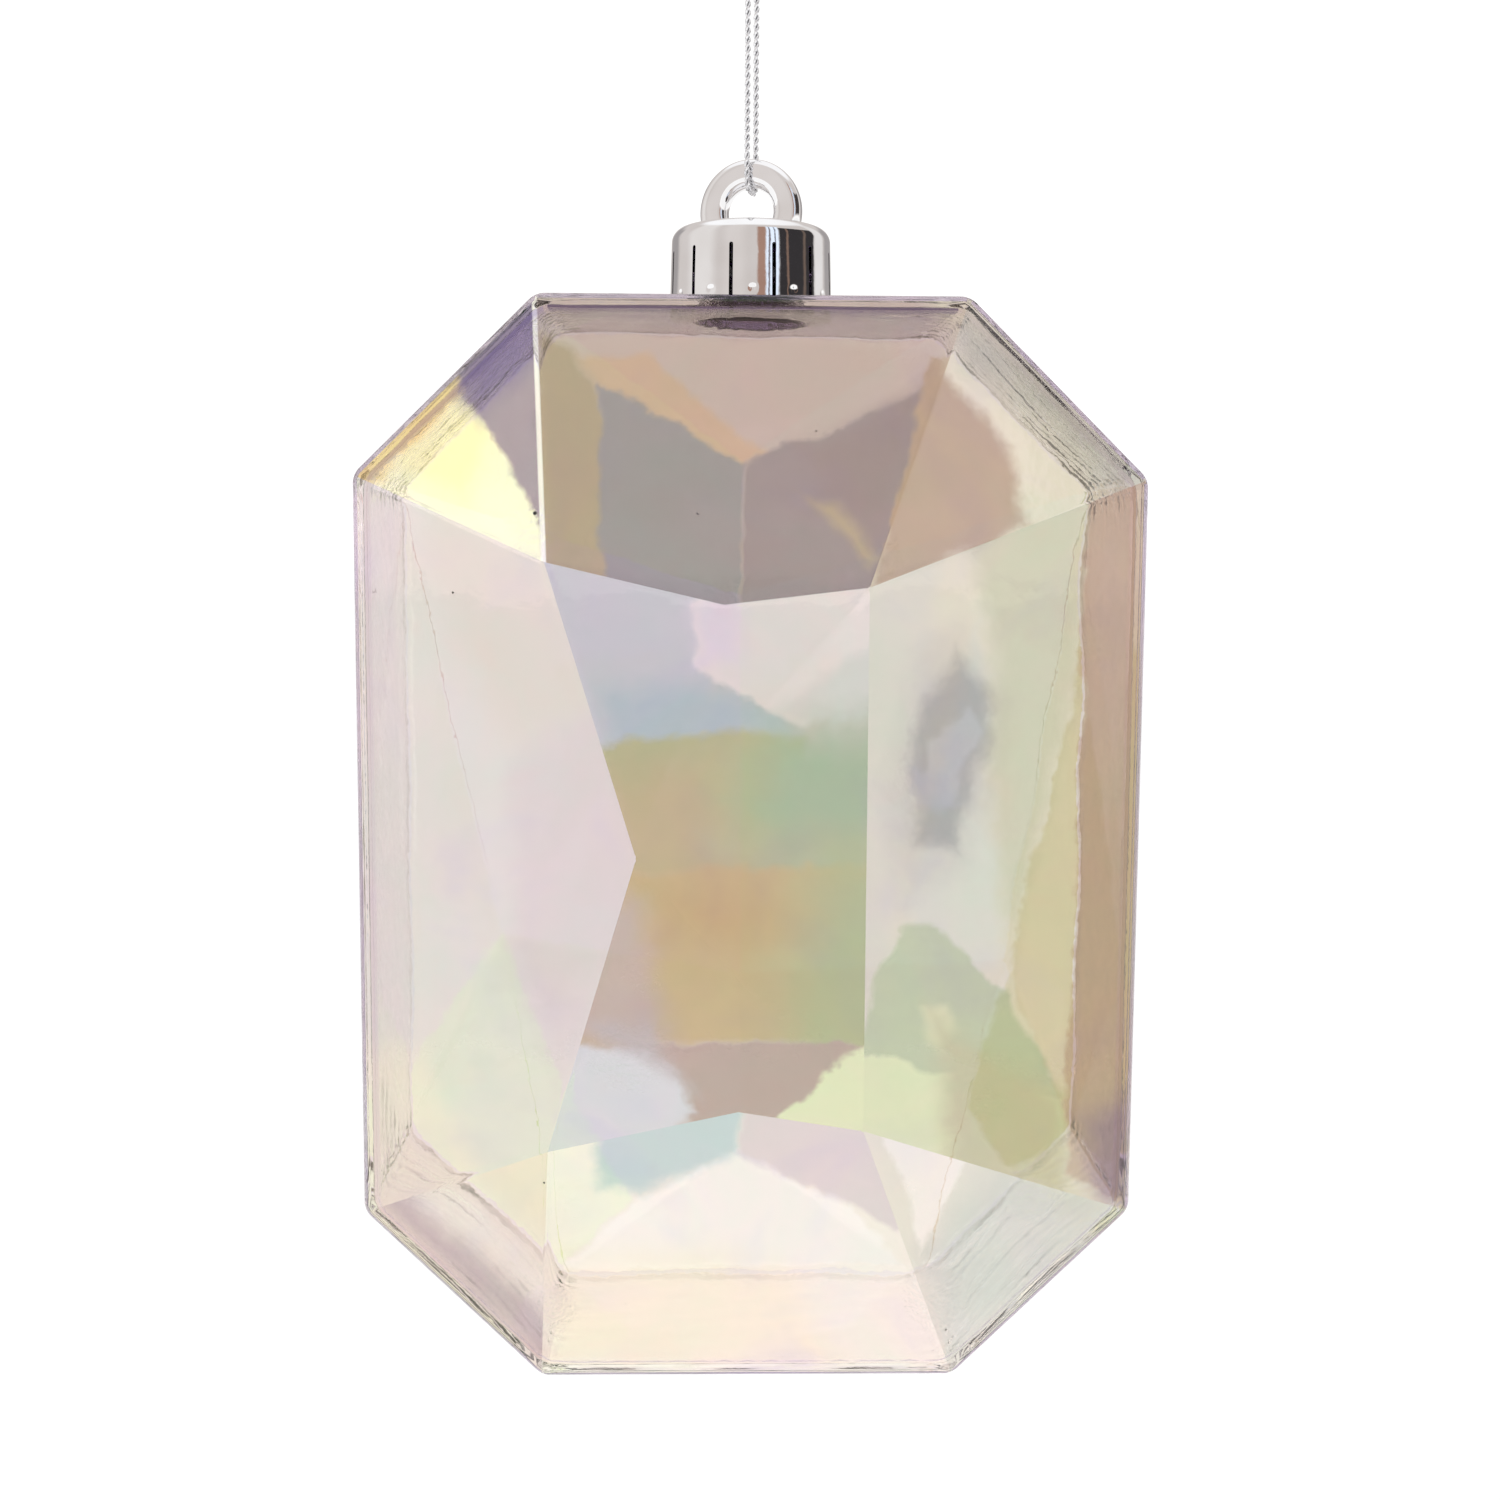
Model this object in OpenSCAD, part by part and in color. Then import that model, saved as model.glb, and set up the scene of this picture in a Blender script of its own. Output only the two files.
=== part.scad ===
// Faceted jewel hanging ornament: a hollow clear body with a neck, a snap-on
// plated cap with twelve spring fingers and an eye, and a cord loop with a knot.
// Millimetres. +Z is up, -Y is the front, and the origin is the crest of the
// cord loop, where a hook carries the ornament.

/* [Gem outline] */
// Width of the gem across its flat sides
gem_w = 98; // [90:1:110]
// Height of the gem between its top and bottom faces
gem_h = 137; // [125:1:150]
// Depth of the straight band between the front and back rims
band_d = 34; // [28:1:40]
// Width of each cut corner
corner_w = 22.5; // [18:0.5:26]
// Height of each cut corner
corner_h = 22; // [18:0.5:26]
// Thickness of the moulded wall
wall = 1.5; // [1.2:0.1:2]

/* [Front cut] */
// Distance of the left inner facet corners from the gem's middle
inner_x = 24.8; // [22:0.2:28]
// Half the distance between the upper and lower left inner facet corners
inner_z = 35.9; // [33:0.1:38]
// How far the left inner facet corners stand in front of the rim
inner_rise = 8; // [6:0.5:10]
// Distance of the left kink from the gem's middle
side_kink_x = 13.8; // [12:0.2:16]
// Height of the left kink above the gem's middle
side_kink_z = 1; // [-1:0.5:2]
// Distance of the table's straight right edge from the gem's middle
right_x = 13.8; // [12:0.2:16]
// Half the length of the table's straight right edge
right_z = 33.1; // [32:0.1:35]
// Sideways place of the upper kink
top_kink_x = -3.5; // [-4:0.5:2]
// Height of the upper kink above the gem's middle
top_kink_z = 31; // [29:0.5:32]
// Sideways place of the lower kink
bottom_kink_x = -1.5; // [-3:0.5:2]
// Depth of the lower kink below the gem's middle
bottom_kink_z = 30.5; // [29:0.5:32]

/* [Back cut] */
// Height of the points of the back's top and bottom facets from the gem's middle
back_v_z = 50.5; // [48:0.5:52]
// Distance of the point of the back's left facet from the gem's middle
back_left_x = 35.5; // [34:0.5:36.5]
// Distance of the point of the back's right facet from the gem's middle
back_right_x = 37.5; // [36:0.5:38.5]
// How far the back's middle ridge stands behind the rim
back_rise = 8; // [7.5:0.5:8.5]

/* [Neck] */
// Bore of the neck
neck_bore_d = 12.4; // [11:0.2:13]
// Outside of the neck below its bead
neck_d = 16.6; // [16:0.2:16.8]
// Height of the neck above the gem's top face
neck_h = 8.8; // [8:0.2:8.9]
// Radial height of the bead that the cap snaps over
bead_r = 0.65; // [0.4:0.05:0.66]

/* [Cap] */
// Outside of the cap at its skirt
cap_d = 21; // [20:0.2:23]
// Height of the cap's top above the gem's top face
cap_h = 10.5; // [10.4:0.1:12]
// Thickness of the cap's skirt
cap_wall = 1.5; // [1.3:0.1:1.5]
// Radius of the cap's rounded top edge
cap_round = 1.8; // [1:0.1:2]
// Number of spring fingers round the skirt
fingers = 12; // [8:2:16]
// Width of the slits between the fingers
slit_w = 0.5; // [0.3:0.1:0.8]
// Height of the slits above the gem's top face
slit_top = 7.3; // [6:0.1:7.5]

/* [Eye] */
// Outside of the eye ring
eye_d = 13.4; // [12.8:0.2:14.4]
// Hole of the eye ring
eye_hole_d = 6.2; // [6.2:0.1:7]
// Thickness of the eye ring from front to back
eye_t = 3; // [2.6:0.1:3.2]
// Height of the hole's centre above the cap's top
eye_up = 2.2; // [2.1:0.1:3]
// Turn of the eye to the left of the front
eye_turn = 15; // [0:1:20]

/* [Cord] */
// Thickness of the cord
cord_d = 0.8; // [0.6:0.1:0.9]
// Height of the loop's crest above the gem's top face
loop_up = 76; // [76:1:76]

/* [Hidden] */
$fn = 96;
top_z = -loop_up;                 // the gem's top face
mid_z = top_z - gem_h / 2;        // the gem's middle
eye_z = top_z + cap_h + eye_up;   // the eye hole's centre
skirt_gap = 0.1;                  // the cap's skirt to the gem's top face
cap_r = cap_d / 2;
cap_in = cap_r - cap_wall;        // inside of the skirt
crown_in = cap_h - 1.5;           // underside of the cap's top
grip_z = 1.6;                     // height of the grip bumps
// The cord's route in its own plane: distance behind the eye's middle, height.
ROUTE = [[-0.45, 2.4], [-0.45, 1.8], [-0.6, 1.1], [-1, 0.3], [-1.6, -0.7],
    [-2.05, -2], [-2.25, -3.8], [-2.3, -6], [-2.3, -9], [-2.3, -12], [-2.3, -15],
    [-2.3, -18], [-2.3, -21], [-2.3, -24], [-2.3, -27], [-2.3, -30], [-2.3, -33],
    [-2.3, -36], [-2.3, -39], [-2.3, -42], [-2.3, -45], [-2.3, -48], [-2.3, -51],
    [-2.3, -54], [-2.3, -57], [-2.3, -58.8], [-2.1, -59.8], [-1.6, -60.5],
    [-0.8, -60.65], [0, -60.65]];

// ---- Gem -------------------------------------------------------------
// Corner drops of the octagon after its eight sides move in by t.
function cut_h(t) = corner_h - t + t * (norm([corner_w, corner_h]) - corner_h) / corner_w;
function cut_w(t) = corner_w - t + t * (norm([corner_w, corner_h]) - corner_w) / corner_h;
// The octagon, clockwise from its upper left corner, in x and z.
function outline(t) = let (a = gem_w / 2 - t, h = gem_h / 2 - t, u = cut_w(t), v = cut_h(t))
    [[-a + u, h], [a - u, h], [a, h - v], [a, -h + v],
     [a - u, -h], [-a + u, -h], [-a, -h + v], [-a, h - v]];
// How far the left facet and a top or bottom facet stand in front of the rim.
function side_rise(x) = inner_rise * (gem_w / 2 - x) / (gem_w / 2 - inner_x);
function top_rise(z) = inner_rise * (gem_h / 2 - z) / (gem_h / 2 - inner_z);
// The low ridge that runs from the left kink into the table ends here.
ridge_x = (top_kink_x + bottom_kink_x) / 2;
ridge_rise = side_rise(side_kink_x) - 0.9;
// Points of the cut gem, moved in by t.
function gem_points(t) = let (f = -band_d / 2, b = band_d / 2, k = t * 1.05, e = t * 0.15)
    concat(
        [for (p = outline(t)) [p[0], f + t * 0.76, p[1]]],
        [for (p = outline(t)) [p[0], b - t * 0.78, p[1]]],
        [[-inner_x + e, f - inner_rise + k, inner_z - e],
         [right_x - e, f - top_rise(right_z) + k, right_z - e],
         [right_x - e, f - top_rise(right_z) + k, -right_z + e],
         [-inner_x + e, f - inner_rise + k, -inner_z + e],
         [top_kink_x, f - top_rise(top_kink_z) + k, top_kink_z - e],
         [bottom_kink_x, f - top_rise(bottom_kink_z) + k, -bottom_kink_z + e],
         [-side_kink_x + e, f - side_rise(side_kink_x) + k, side_kink_z],
         [ridge_x, f - ridge_rise + t, side_kink_z]],
        [[-0.5, b + 5 - k, back_v_z - e], [-0.5, b + 5 - k, -back_v_z + e],
         [-back_left_x + e, b + 5 - k, -18], [back_right_x - e, b + 4.3 - k, -22],
         [-0.5, b + back_rise - t, 31], [-0.5, b + back_rise - t, -25]]);
// The band, the front's facets, the front's table and the back's facets.
GEM_FACES = concat(
    [for (i = [0:7]) let (j = (i + 1) % 8) [i, i + 8, j + 8, j]],
    [[0, 1, 17, 20, 16], [1, 2, 17], [2, 3, 18, 17], [3, 4, 18],
     [4, 5, 19, 21, 18], [5, 6, 19], [6, 7, 16, 22, 19], [7, 0, 16]],
    [[16, 20, 22], [20, 17, 22], [22, 17, 23], [23, 17, 18],
     [22, 23, 18], [22, 18, 21], [22, 21, 19]],
    [[9, 8, 24], [13, 12, 25], [15, 14, 26], [11, 10, 27],
     [14, 13, 26], [12, 11, 27], [15, 28, 8], [10, 9, 28],
     [8, 28, 24], [9, 24, 28], [15, 26, 28], [10, 28, 27],
     [13, 25, 26], [12, 27, 25], [25, 29, 26], [25, 27, 29],
     [29, 28, 26], [29, 27, 28]]);

module cut_gem(t) translate([0, 0, mid_z]) polyhedron(gem_points(t), GEM_FACES, convexity = 4);

module neck_outside() rotate_extrude() polygon([
    [0, -wall / 2], [neck_d / 2, -wall / 2], [neck_d / 2, 2.6],
    [neck_d / 2 + bead_r, 2.6 + bead_r], [neck_d / 2 + bead_r, 4.4],
    [neck_d / 2, 4.4 + bead_r], [neck_d / 2, neck_h - 0.4],
    [neck_d / 2 - 0.4, neck_h], [0, neck_h]]);

module gem_body() color([0.86, 0.83, 0.80, 0.45]) difference() {
    union() {
        difference() {
            cut_gem(0);
            cut_gem(wall);
        }
        translate([0, 0, top_z]) neck_outside();
    }
    translate([0, 0, top_z - wall - 1]) cylinder(d = neck_bore_d, h = neck_h + wall + 2);
}

// ---- Cap -------------------------------------------------------------
module cap_shell() rotate_extrude() difference() {
    union() {
        polygon([[0, skirt_gap], [cap_r, skirt_gap], [cap_r - 0.2, cap_h - cap_round],
            [cap_r - 0.2 - cap_round, cap_h], [0, cap_h]]);
        intersection() {
            translate([cap_r - 0.2 - cap_round, cap_h - cap_round]) circle(cap_round);
            translate([0, cap_h - cap_round]) square([cap_r, cap_round]);
        }
    }
    square([cap_in, crown_in]);
}

module eye_ring() rotate([0, 0, -eye_turn]) translate([0, 0, cap_h + eye_up])
    rotate([90, 0, 0]) rotate_extrude() {
        translate([eye_hole_d / 2, -eye_t / 2 + 0.6]) square([(eye_d - eye_hole_d) / 2, eye_t - 1.2]);
        translate([eye_hole_d / 2 + 0.6, -eye_t / 2]) square([(eye_d - eye_hole_d) / 2 - 1.2, eye_t]);
        for (x = [eye_hole_d / 2 + 0.6, eye_d / 2 - 0.6], y = [-1, 1])
            translate([x, y * (eye_t / 2 - 0.6)]) circle(0.6);
    }

module hanger_cap() color([0.82, 0.82, 0.84]) translate([0, 0, top_z]) {
    difference() {
        cap_shell();
        for (i = [0:fingers - 1]) rotate([0, 0, (i + 0.5) * 360 / fingers]) {
            // slit beside the finger
            translate([-slit_w / 2, cap_in - 1, -1]) cube([slit_w, cap_wall + 2, slit_top + 1]);
        }
        // punched dimples behind the grip bumps
        for (i = [0:fingers - 1]) rotate([0, 0, i * 360 / fingers])
            translate([0, cap_r + 0.35, grip_z]) sphere(r = 0.75);
    }
    // grip bumps that catch under the neck's bead
    for (i = [0:fingers - 1]) rotate([0, 0, i * 360 / fingers]) difference() {
        translate([0, cap_in + 0.2, grip_z]) sphere(r = 0.84);
        translate([-2, cap_in + 0.4, grip_z - 2]) cube([4, 4, 4]);
    }
    intersection() {
        eye_ring();
        translate([-10, -10, crown_in + 0.5]) cube([20, 20, 20]);
    }
}

// ---- Cord ------------------------------------------------------------
// The whole route: down the front strand, under the eye and up the back one.
WAY = concat(ROUTE, [for (i = [len(ROUTE) - 2:-1:0]) [-ROUTE[i][0], ROUTE[i][1]]]);
function way(i) = [WAY[i][0] * sin(eye_turn), WAY[i][0] * cos(eye_turn), WAY[i][1]];
function heading(i) = let (d = WAY[min(i + 1, len(WAY) - 1)] - WAY[max(i - 1, 0)]) d / norm(d);
// A ring of eight corners square to the route.
function cord_ring(i) = let (h = heading(i), n = [-h[1], h[0]])
    [for (a = [22.5:45:359]) way(i) + cord_d / 2 * (
        cos(a) * [n[0] * sin(eye_turn), n[0] * cos(eye_turn), n[1]]
        + sin(a) * [cos(eye_turn), -sin(eye_turn), 0])];

module hanging_cord() color([0.72, 0.72, 0.74]) let (n = len(WAY)) polyhedron(
    [for (i = [0:n - 1]) each cord_ring(i)],
    concat([[for (k = [0:7]) k]], [[for (k = [7:-1:0]) 8 * (n - 1) + k]],
        [for (i = [0:n - 2], k = [0:7]) let (m = (k + 1) % 8)
            [8 * i + k, 8 * i + 8 + k, 8 * i + 8 + m, 8 * i + m]]), convexity = 8);

module cord_knot() color([0.66, 0.66, 0.68]) {
    rotate_extrude($fn = 48) polygon([[0, 2], [0.95, 2], [1.5, 2.6], [1.75, 3.5],
        [1.6, 4.6], [1.1, 5.4], [0.85, 5.8], [0, 5.8]]);
    for (s = [-1, 1]) translate([s * 0.4 * sin(eye_turn), s * 0.4 * cos(eye_turn), 5.2])
        rotate([0, 0, -eye_turn]) rotate([-s * 12, 0, 0]) cylinder(d = cord_d, h = 6.5, $fn = 24);
}

gem_body();
hanger_cap();
hanging_cord();
cord_knot();
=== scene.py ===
"""Looks of the faceted jewel hanging ornament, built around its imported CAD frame."""
import math

import bmesh
import bpy
import numpy as np
from mathutils import Matrix, Vector


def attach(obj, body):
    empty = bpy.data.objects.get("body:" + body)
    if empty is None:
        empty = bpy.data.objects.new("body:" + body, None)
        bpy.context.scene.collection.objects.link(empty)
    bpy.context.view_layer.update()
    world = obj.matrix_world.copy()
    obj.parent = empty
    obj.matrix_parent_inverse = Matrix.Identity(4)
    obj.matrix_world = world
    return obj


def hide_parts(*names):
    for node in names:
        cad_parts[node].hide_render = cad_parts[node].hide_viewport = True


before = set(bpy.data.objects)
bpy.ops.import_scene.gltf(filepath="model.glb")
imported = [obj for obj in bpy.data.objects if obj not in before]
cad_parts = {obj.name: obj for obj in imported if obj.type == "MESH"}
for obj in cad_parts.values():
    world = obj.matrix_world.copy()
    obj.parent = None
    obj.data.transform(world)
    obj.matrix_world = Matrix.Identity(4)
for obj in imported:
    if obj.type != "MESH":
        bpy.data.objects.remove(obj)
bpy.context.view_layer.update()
scene = bpy.context.scene
MM = 0.001
MID_Z = -144.5  # the gem's middle
TOP_Z = -76.0  # its top face

# ---------------------------------------------------------------- camera
cam_data = bpy.data.cameras.new("camera")
cam = bpy.data.objects.new("camera", cam_data)
scene.collection.objects.link(cam)
yaw, pitch, roll = 0.0217, 0.1018, -0.0057
cam_data.lens, cam_data.sensor_width = 43.07, 36.0
cam_data.clip_start, cam_data.clip_end = 0.01, 50.0
ahead = Vector((math.sin(yaw) * math.cos(pitch), math.cos(yaw) * math.cos(pitch), -math.sin(pitch)))
right = Vector((math.cos(yaw), -math.sin(yaw), 0))
up = right.cross(ahead)
right, up = (
    math.cos(roll) * right - math.sin(roll) * up,
    math.sin(roll) * right + math.cos(roll) * up,
)
cam.matrix_world = Matrix.Translation(Vector((-4.94, -238.9, -109.0)) * MM) @ Matrix(
    (right, up, -ahead)
).transposed().to_4x4()
scene.camera = cam


# ---------------------------------------------------------------- helpers
def link(name, mesh, *mats):
    o = bpy.data.objects.new(name, mesh)
    scene.collection.objects.link(o)
    for m in mats:
        o.data.materials.append(m)
    return o


def baked(o, name=None):
    """The object's evaluated mesh as its own mesh, with no modifiers left."""
    bpy.context.view_layer.update()
    dg = bpy.context.evaluated_depsgraph_get()
    me = bpy.data.meshes.new_from_object(o.evaluated_get(dg), preserve_all_data_layers=True, depsgraph=dg)
    o.modifiers.clear()
    o.data = me
    me.name = name or o.name
    return o


def mesh_from(name, verts, faces):
    me = bpy.data.meshes.new(name)
    me.from_pydata([tuple(v) for v in verts], [], [tuple(f) for f in faces])
    me.update()
    return me


def lathe(name, profile, n=128, z0=0.0):
    """A closed solid turned about Z from (r, z) points in mm, first and last on the axis or a closed ring."""
    verts, faces = [], []
    closed = profile[0][0] > 1e-6 and profile[-1][0] > 1e-6
    rings = []
    for r, z in profile:
        if r < 1e-6:
            rings.append([len(verts)])
            verts.append((0, 0, (z + z0) * MM))
        else:
            rings.append(list(range(len(verts), len(verts) + n)))
            for i in range(n):
                a = 2 * math.pi * i / n
                verts.append((r * math.cos(a) * MM, r * math.sin(a) * MM, (z + z0) * MM))
    pairs = list(zip(rings, rings[1:])) + ([(rings[-1], rings[0])] if closed else [])
    for a, b in pairs:
        for i in range(n):
            j = (i + 1) % n
            if len(a) == 1 and len(b) == 1:
                continue
            if len(a) == 1:
                faces.append((a[0], b[j], b[i]))
            elif len(b) == 1:
                faces.append((a[i], a[j], b[0]))
            else:
                faces.append((a[i], a[j], b[j], b[i]))
    me = mesh_from(name, verts, faces)
    bm = bmesh.new()
    bm.from_mesh(me)
    bmesh.ops.recalc_face_normals(bm, faces=bm.faces)
    bm.to_mesh(me)
    bm.free()
    return me


def boolean(target, other, op, keep=False):
    m = target.modifiers.new("b", "BOOLEAN")
    m.operation, m.solver, m.object = op, "EXACT", other
    baked(target)
    if not keep:
        bpy.data.objects.remove(other)
    return target


def smooth_by_area(o, angle=40.0):
    """Smooth shading whose normals follow the large faces, so flat facets stay flat beside their rounded edges."""
    for p in o.data.polygons:
        p.use_smooth = True
    o.data.set_sharp_from_angle(angle=math.radians(angle))
    m = o.modifiers.new("w", "WEIGHTED_NORMAL")
    m.mode, m.keep_sharp, m.weight = "FACE_AREA", True, 50
    return baked(o)


def smoothstep(x, a, b):
    t = np.clip((x - a) / (b - a), 0, 1)
    return t * t * (3 - 2 * t)


# ---------------------------------------------------------------- cord route
EYE_TURN = math.radians(15)
ROUTE = [
    (-0.45, 2.4), (-0.45, 1.8), (-0.6, 1.1), (-1, 0.3), (-1.6, -0.7), (-2.05, -2), (-2.25, -3.8),
    (-2.3, -6), (-2.3, -9), (-2.3, -12), (-2.3, -15), (-2.3, -18), (-2.3, -21), (-2.3, -24),
    (-2.3, -27), (-2.3, -30), (-2.3, -33), (-2.3, -36), (-2.3, -39), (-2.3, -42), (-2.3, -45),
    (-2.3, -48), (-2.3, -51), (-2.3, -54), (-2.3, -57), (-2.3, -58.8), (-2.1, -59.8),
    (-1.6, -60.5), (-0.8, -60.65), (0, -60.65),
]
WAY = ROUTE + [(-s, z) for s, z in ROUTE[-2::-1]]


def in_row(s, z, side=0.0):
    """A point of the cord's plane in the row frame, in metres."""
    return np.array([
        s * math.sin(EYE_TURN) + side * math.cos(EYE_TURN),
        s * math.cos(EYE_TURN) - side * math.sin(EYE_TURN),
        z,
    ]) * MM


def spline(points, step):
    """A centripetal smooth line through the points, with points about step apart."""
    p = np.array(points, float)
    p = np.vstack([2 * p[0] - p[1], p, 2 * p[-1] - p[-2]])
    out = []
    for i in range(1, len(p) - 2):
        p0, p1, p2, p3 = p[i - 1 : i + 3]
        t = np.cumsum([0] + [max(np.linalg.norm(b - a), 1e-9) ** 0.5 for a, b in ((p0, p1), (p1, p2), (p2, p3))])
        for u in np.linspace(t[1], t[2], 24, endpoint=False):
            a1 = (t[1] - u) / (t[1] - t[0]) * p0 + (u - t[0]) / (t[1] - t[0]) * p1
            a2 = (t[2] - u) / (t[2] - t[1]) * p1 + (u - t[1]) / (t[2] - t[1]) * p2
            a3 = (t[3] - u) / (t[3] - t[2]) * p2 + (u - t[2]) / (t[3] - t[2]) * p3
            b1 = (t[2] - u) / (t[2] - t[0]) * a1 + (u - t[0]) / (t[2] - t[0]) * a2
            b2 = (t[3] - u) / (t[3] - t[1]) * a2 + (u - t[1]) / (t[3] - t[1]) * a3
            out.append((t[2] - u) / (t[2] - t[1]) * b1 + (u - t[1]) / (t[2] - t[1]) * b2)
    out.append(p[-2])
    out = np.array(out)
    along = np.concatenate([[0], np.cumsum(np.linalg.norm(np.diff(out, axis=0), axis=1))])
    at = np.linspace(0, along[-1], max(2, int(round(along[-1] / step)) + 1))
    return np.stack([np.interp(at, along, out[:, k]) for k in range(3)], axis=1)


def frames_along(line):
    """Unit tangents and two carried side vectors along a line."""
    d = np.gradient(line, axis=0)
    t = d / np.linalg.norm(d, axis=1)[:, None]
    n = np.zeros_like(t)
    first = np.cross(t[0], [0.3, 0.9, 0.2])
    n[0] = first / np.linalg.norm(first)
    for i in range(1, len(t)):
        v = n[i - 1] - t[i] * np.dot(n[i - 1], t[i])
        n[i] = v / np.linalg.norm(v)
    return t, n, np.cross(t, n)


def plied(name, line, plies, lay_r, ply_r, pitch, core_r, sides=10, mats=(), phase=0.0, squash=1.0):
    """A twisted cord: plies wound round a dark core, with UVs that run along and around each ply."""
    t, n, b = frames_along(line)
    along = np.concatenate([[0], np.cumsum(np.linalg.norm(np.diff(line, axis=0), axis=1))])
    verts, faces, uvs, which = [], [], [], []
    for k in range(plies + 1):
        if k == plies:
            centre, r, s_sides = line, core_r, 6
            tt, nn, bb = t, n, b
        else:
            a = 2 * math.pi * (along / pitch + k / plies) + phase
            centre = line + lay_r * (np.cos(a)[:, None] * n + np.sin(a)[:, None] * b)
            tt, nn, bb = frames_along(centre)
            nn = np.cos(a)[:, None] * n + np.sin(a)[:, None] * b
            nn = nn - tt * (nn * tt).sum(1)[:, None]
            nn /= np.linalg.norm(nn, axis=1)[:, None]
            bb = np.cross(tt, nn)
            r, s_sides = ply_r, sides
        base = len(verts)
        for i in range(len(line)):
            for j in range(s_sides):
                c = 2 * math.pi * j / s_sides
                verts.append(centre[i] + r * (math.cos(c) * nn[i] * squash + math.sin(c) * bb[i]))
        for i in range(len(line) - 1):
            for j in range(s_sides):
                m = (j + 1) % s_sides
                faces.append((base + i * s_sides + j, base + i * s_sides + m, base + (i + 1) * s_sides + m, base + (i + 1) * s_sides + j))
                uvs.append([(along[i] / MM, j / s_sides), (along[i] / MM, (j + 1) / s_sides), (along[i + 1] / MM, (j + 1) / s_sides), (along[i + 1] / MM, j / s_sides)])
                which.append(1 if k == plies else 0)
        last = base + (len(line) - 1) * s_sides
        faces.append(tuple(base + j for j in range(s_sides - 1, -1, -1)))
        uvs.append([(0, 0)] * s_sides)
        which.append(1 if k == plies else 0)
        faces.append(tuple(last + j for j in range(s_sides)))
        uvs.append([(0, 0)] * s_sides)
        which.append(1 if k == plies else 0)
    me = mesh_from(name, verts, faces)
    layer = me.uv_layers.new(name="ply")
    flat = [c for f in uvs for c in f]
    layer.data.foreach_set("uv", np.array(flat, np.float32).ravel())
    o = link(name, me, *mats)
    for p, w in zip(me.polygons, which):
        p.use_smooth, p.material_index = True, w
    bm = bmesh.new()
    bm.from_mesh(me)
    bmesh.ops.recalc_face_normals(bm, faces=bm.faces)
    bm.to_mesh(me)
    bm.free()
    return o


# ---------------------------------------------------------------- materials
def new_material(name):
    m = bpy.data.materials.new(name)
    m.use_nodes = True
    nt = m.node_tree
    nt.nodes.clear()
    out = nt.nodes.new("ShaderNodeOutputMaterial")
    bsdf = nt.nodes.new("ShaderNodeBsdfPrincipled")
    nt.links.new(bsdf.outputs[0], out.inputs[0])
    return m, nt, bsdf


def node(nt, kind, inputs=(), **props):
    n = nt.nodes.new(kind)
    for k, v in props.items():
        setattr(n, k, v)
    for key, v in dict(inputs).items():
        s = n.inputs[key]
        if isinstance(v, bpy.types.NodeSocket):
            nt.links.new(v, s)
        else:
            s.default_value = v
    return n


def math_node(nt, op, a, b=None, c=None, clamp=False):
    ins = {0: a}
    if b is not None:
        ins[1] = b
    if c is not None:
        ins[2] = c
    return node(nt, "ShaderNodeMath", ins, operation=op, use_clamp=clamp).outputs[0]


def ramp(nt, fac, stops, mode="LINEAR"):
    n = node(nt, "ShaderNodeValToRGB", {0: fac})
    n.color_ramp.interpolation = mode
    e = n.color_ramp.elements
    while len(e) < len(stops):
        e.new(0.5)
    for s, (pos, col) in zip(e, stops):
        s.position, s.color = pos, (*col, 1.0)
    return n.outputs[0]


def lin(r, g, b):
    """A colour named by its usual 0-255 display values, as linear light."""
    return tuple(((c / 255 + 0.055) / 1.055) ** 2.4 if c > 10 else c / 255 / 12.92 for c in (r, g, b))


def patches(nt, here, straight, start, items):
    """Coloured patches laid over a base colour in painter's order. Each item is (corners of a convex patch in mm about the gem's middle, softness of its edge in mm, colour, strength); here is the place as (x, z, 1), wandering a little, and straight is the same without the wander, for hard edges."""
    colour = start
    for corners, soft, tint, strength in items:
        cx, cz = (sum(c[i] for c in corners) / len(corners) for i in (0, 1))
        inside = None
        for (x0, z0), (x1, z1) in zip(corners, corners[1:] + corners[:1]):
            n = Vector((z0 - z1, x1 - x0)).normalized()
            if (cx - x0) * n.x + (cz - z0) * n.y < 0:
                n = -n
            d = node(nt, "ShaderNodeVectorMath", {0: straight if soft < 0.2 else here, 1: (n.x, n.y, -(n.x * x0 + n.y * z0))}, operation="DOT_PRODUCT").outputs["Value"]
            inside = d if inside is None else math_node(nt, "MINIMUM", inside, d)
        mask = node(nt, "ShaderNodeMapRange", {0: inside, 1: -soft, 2: soft, 3: 0.0, 4: strength}, interpolation_type="SMOOTHSTEP").outputs[0]
        colour = node(nt, "ShaderNodeMix", {0: mask, 6: colour, 7: (*tint, 1)}, data_type="RGBA").outputs[2]
    return colour


def facet_number(name):
    """The number that the mesh's facet attribute carries in its alpha for one facet."""
    return (list(FACETS).index(name) + 1) / 64


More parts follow.
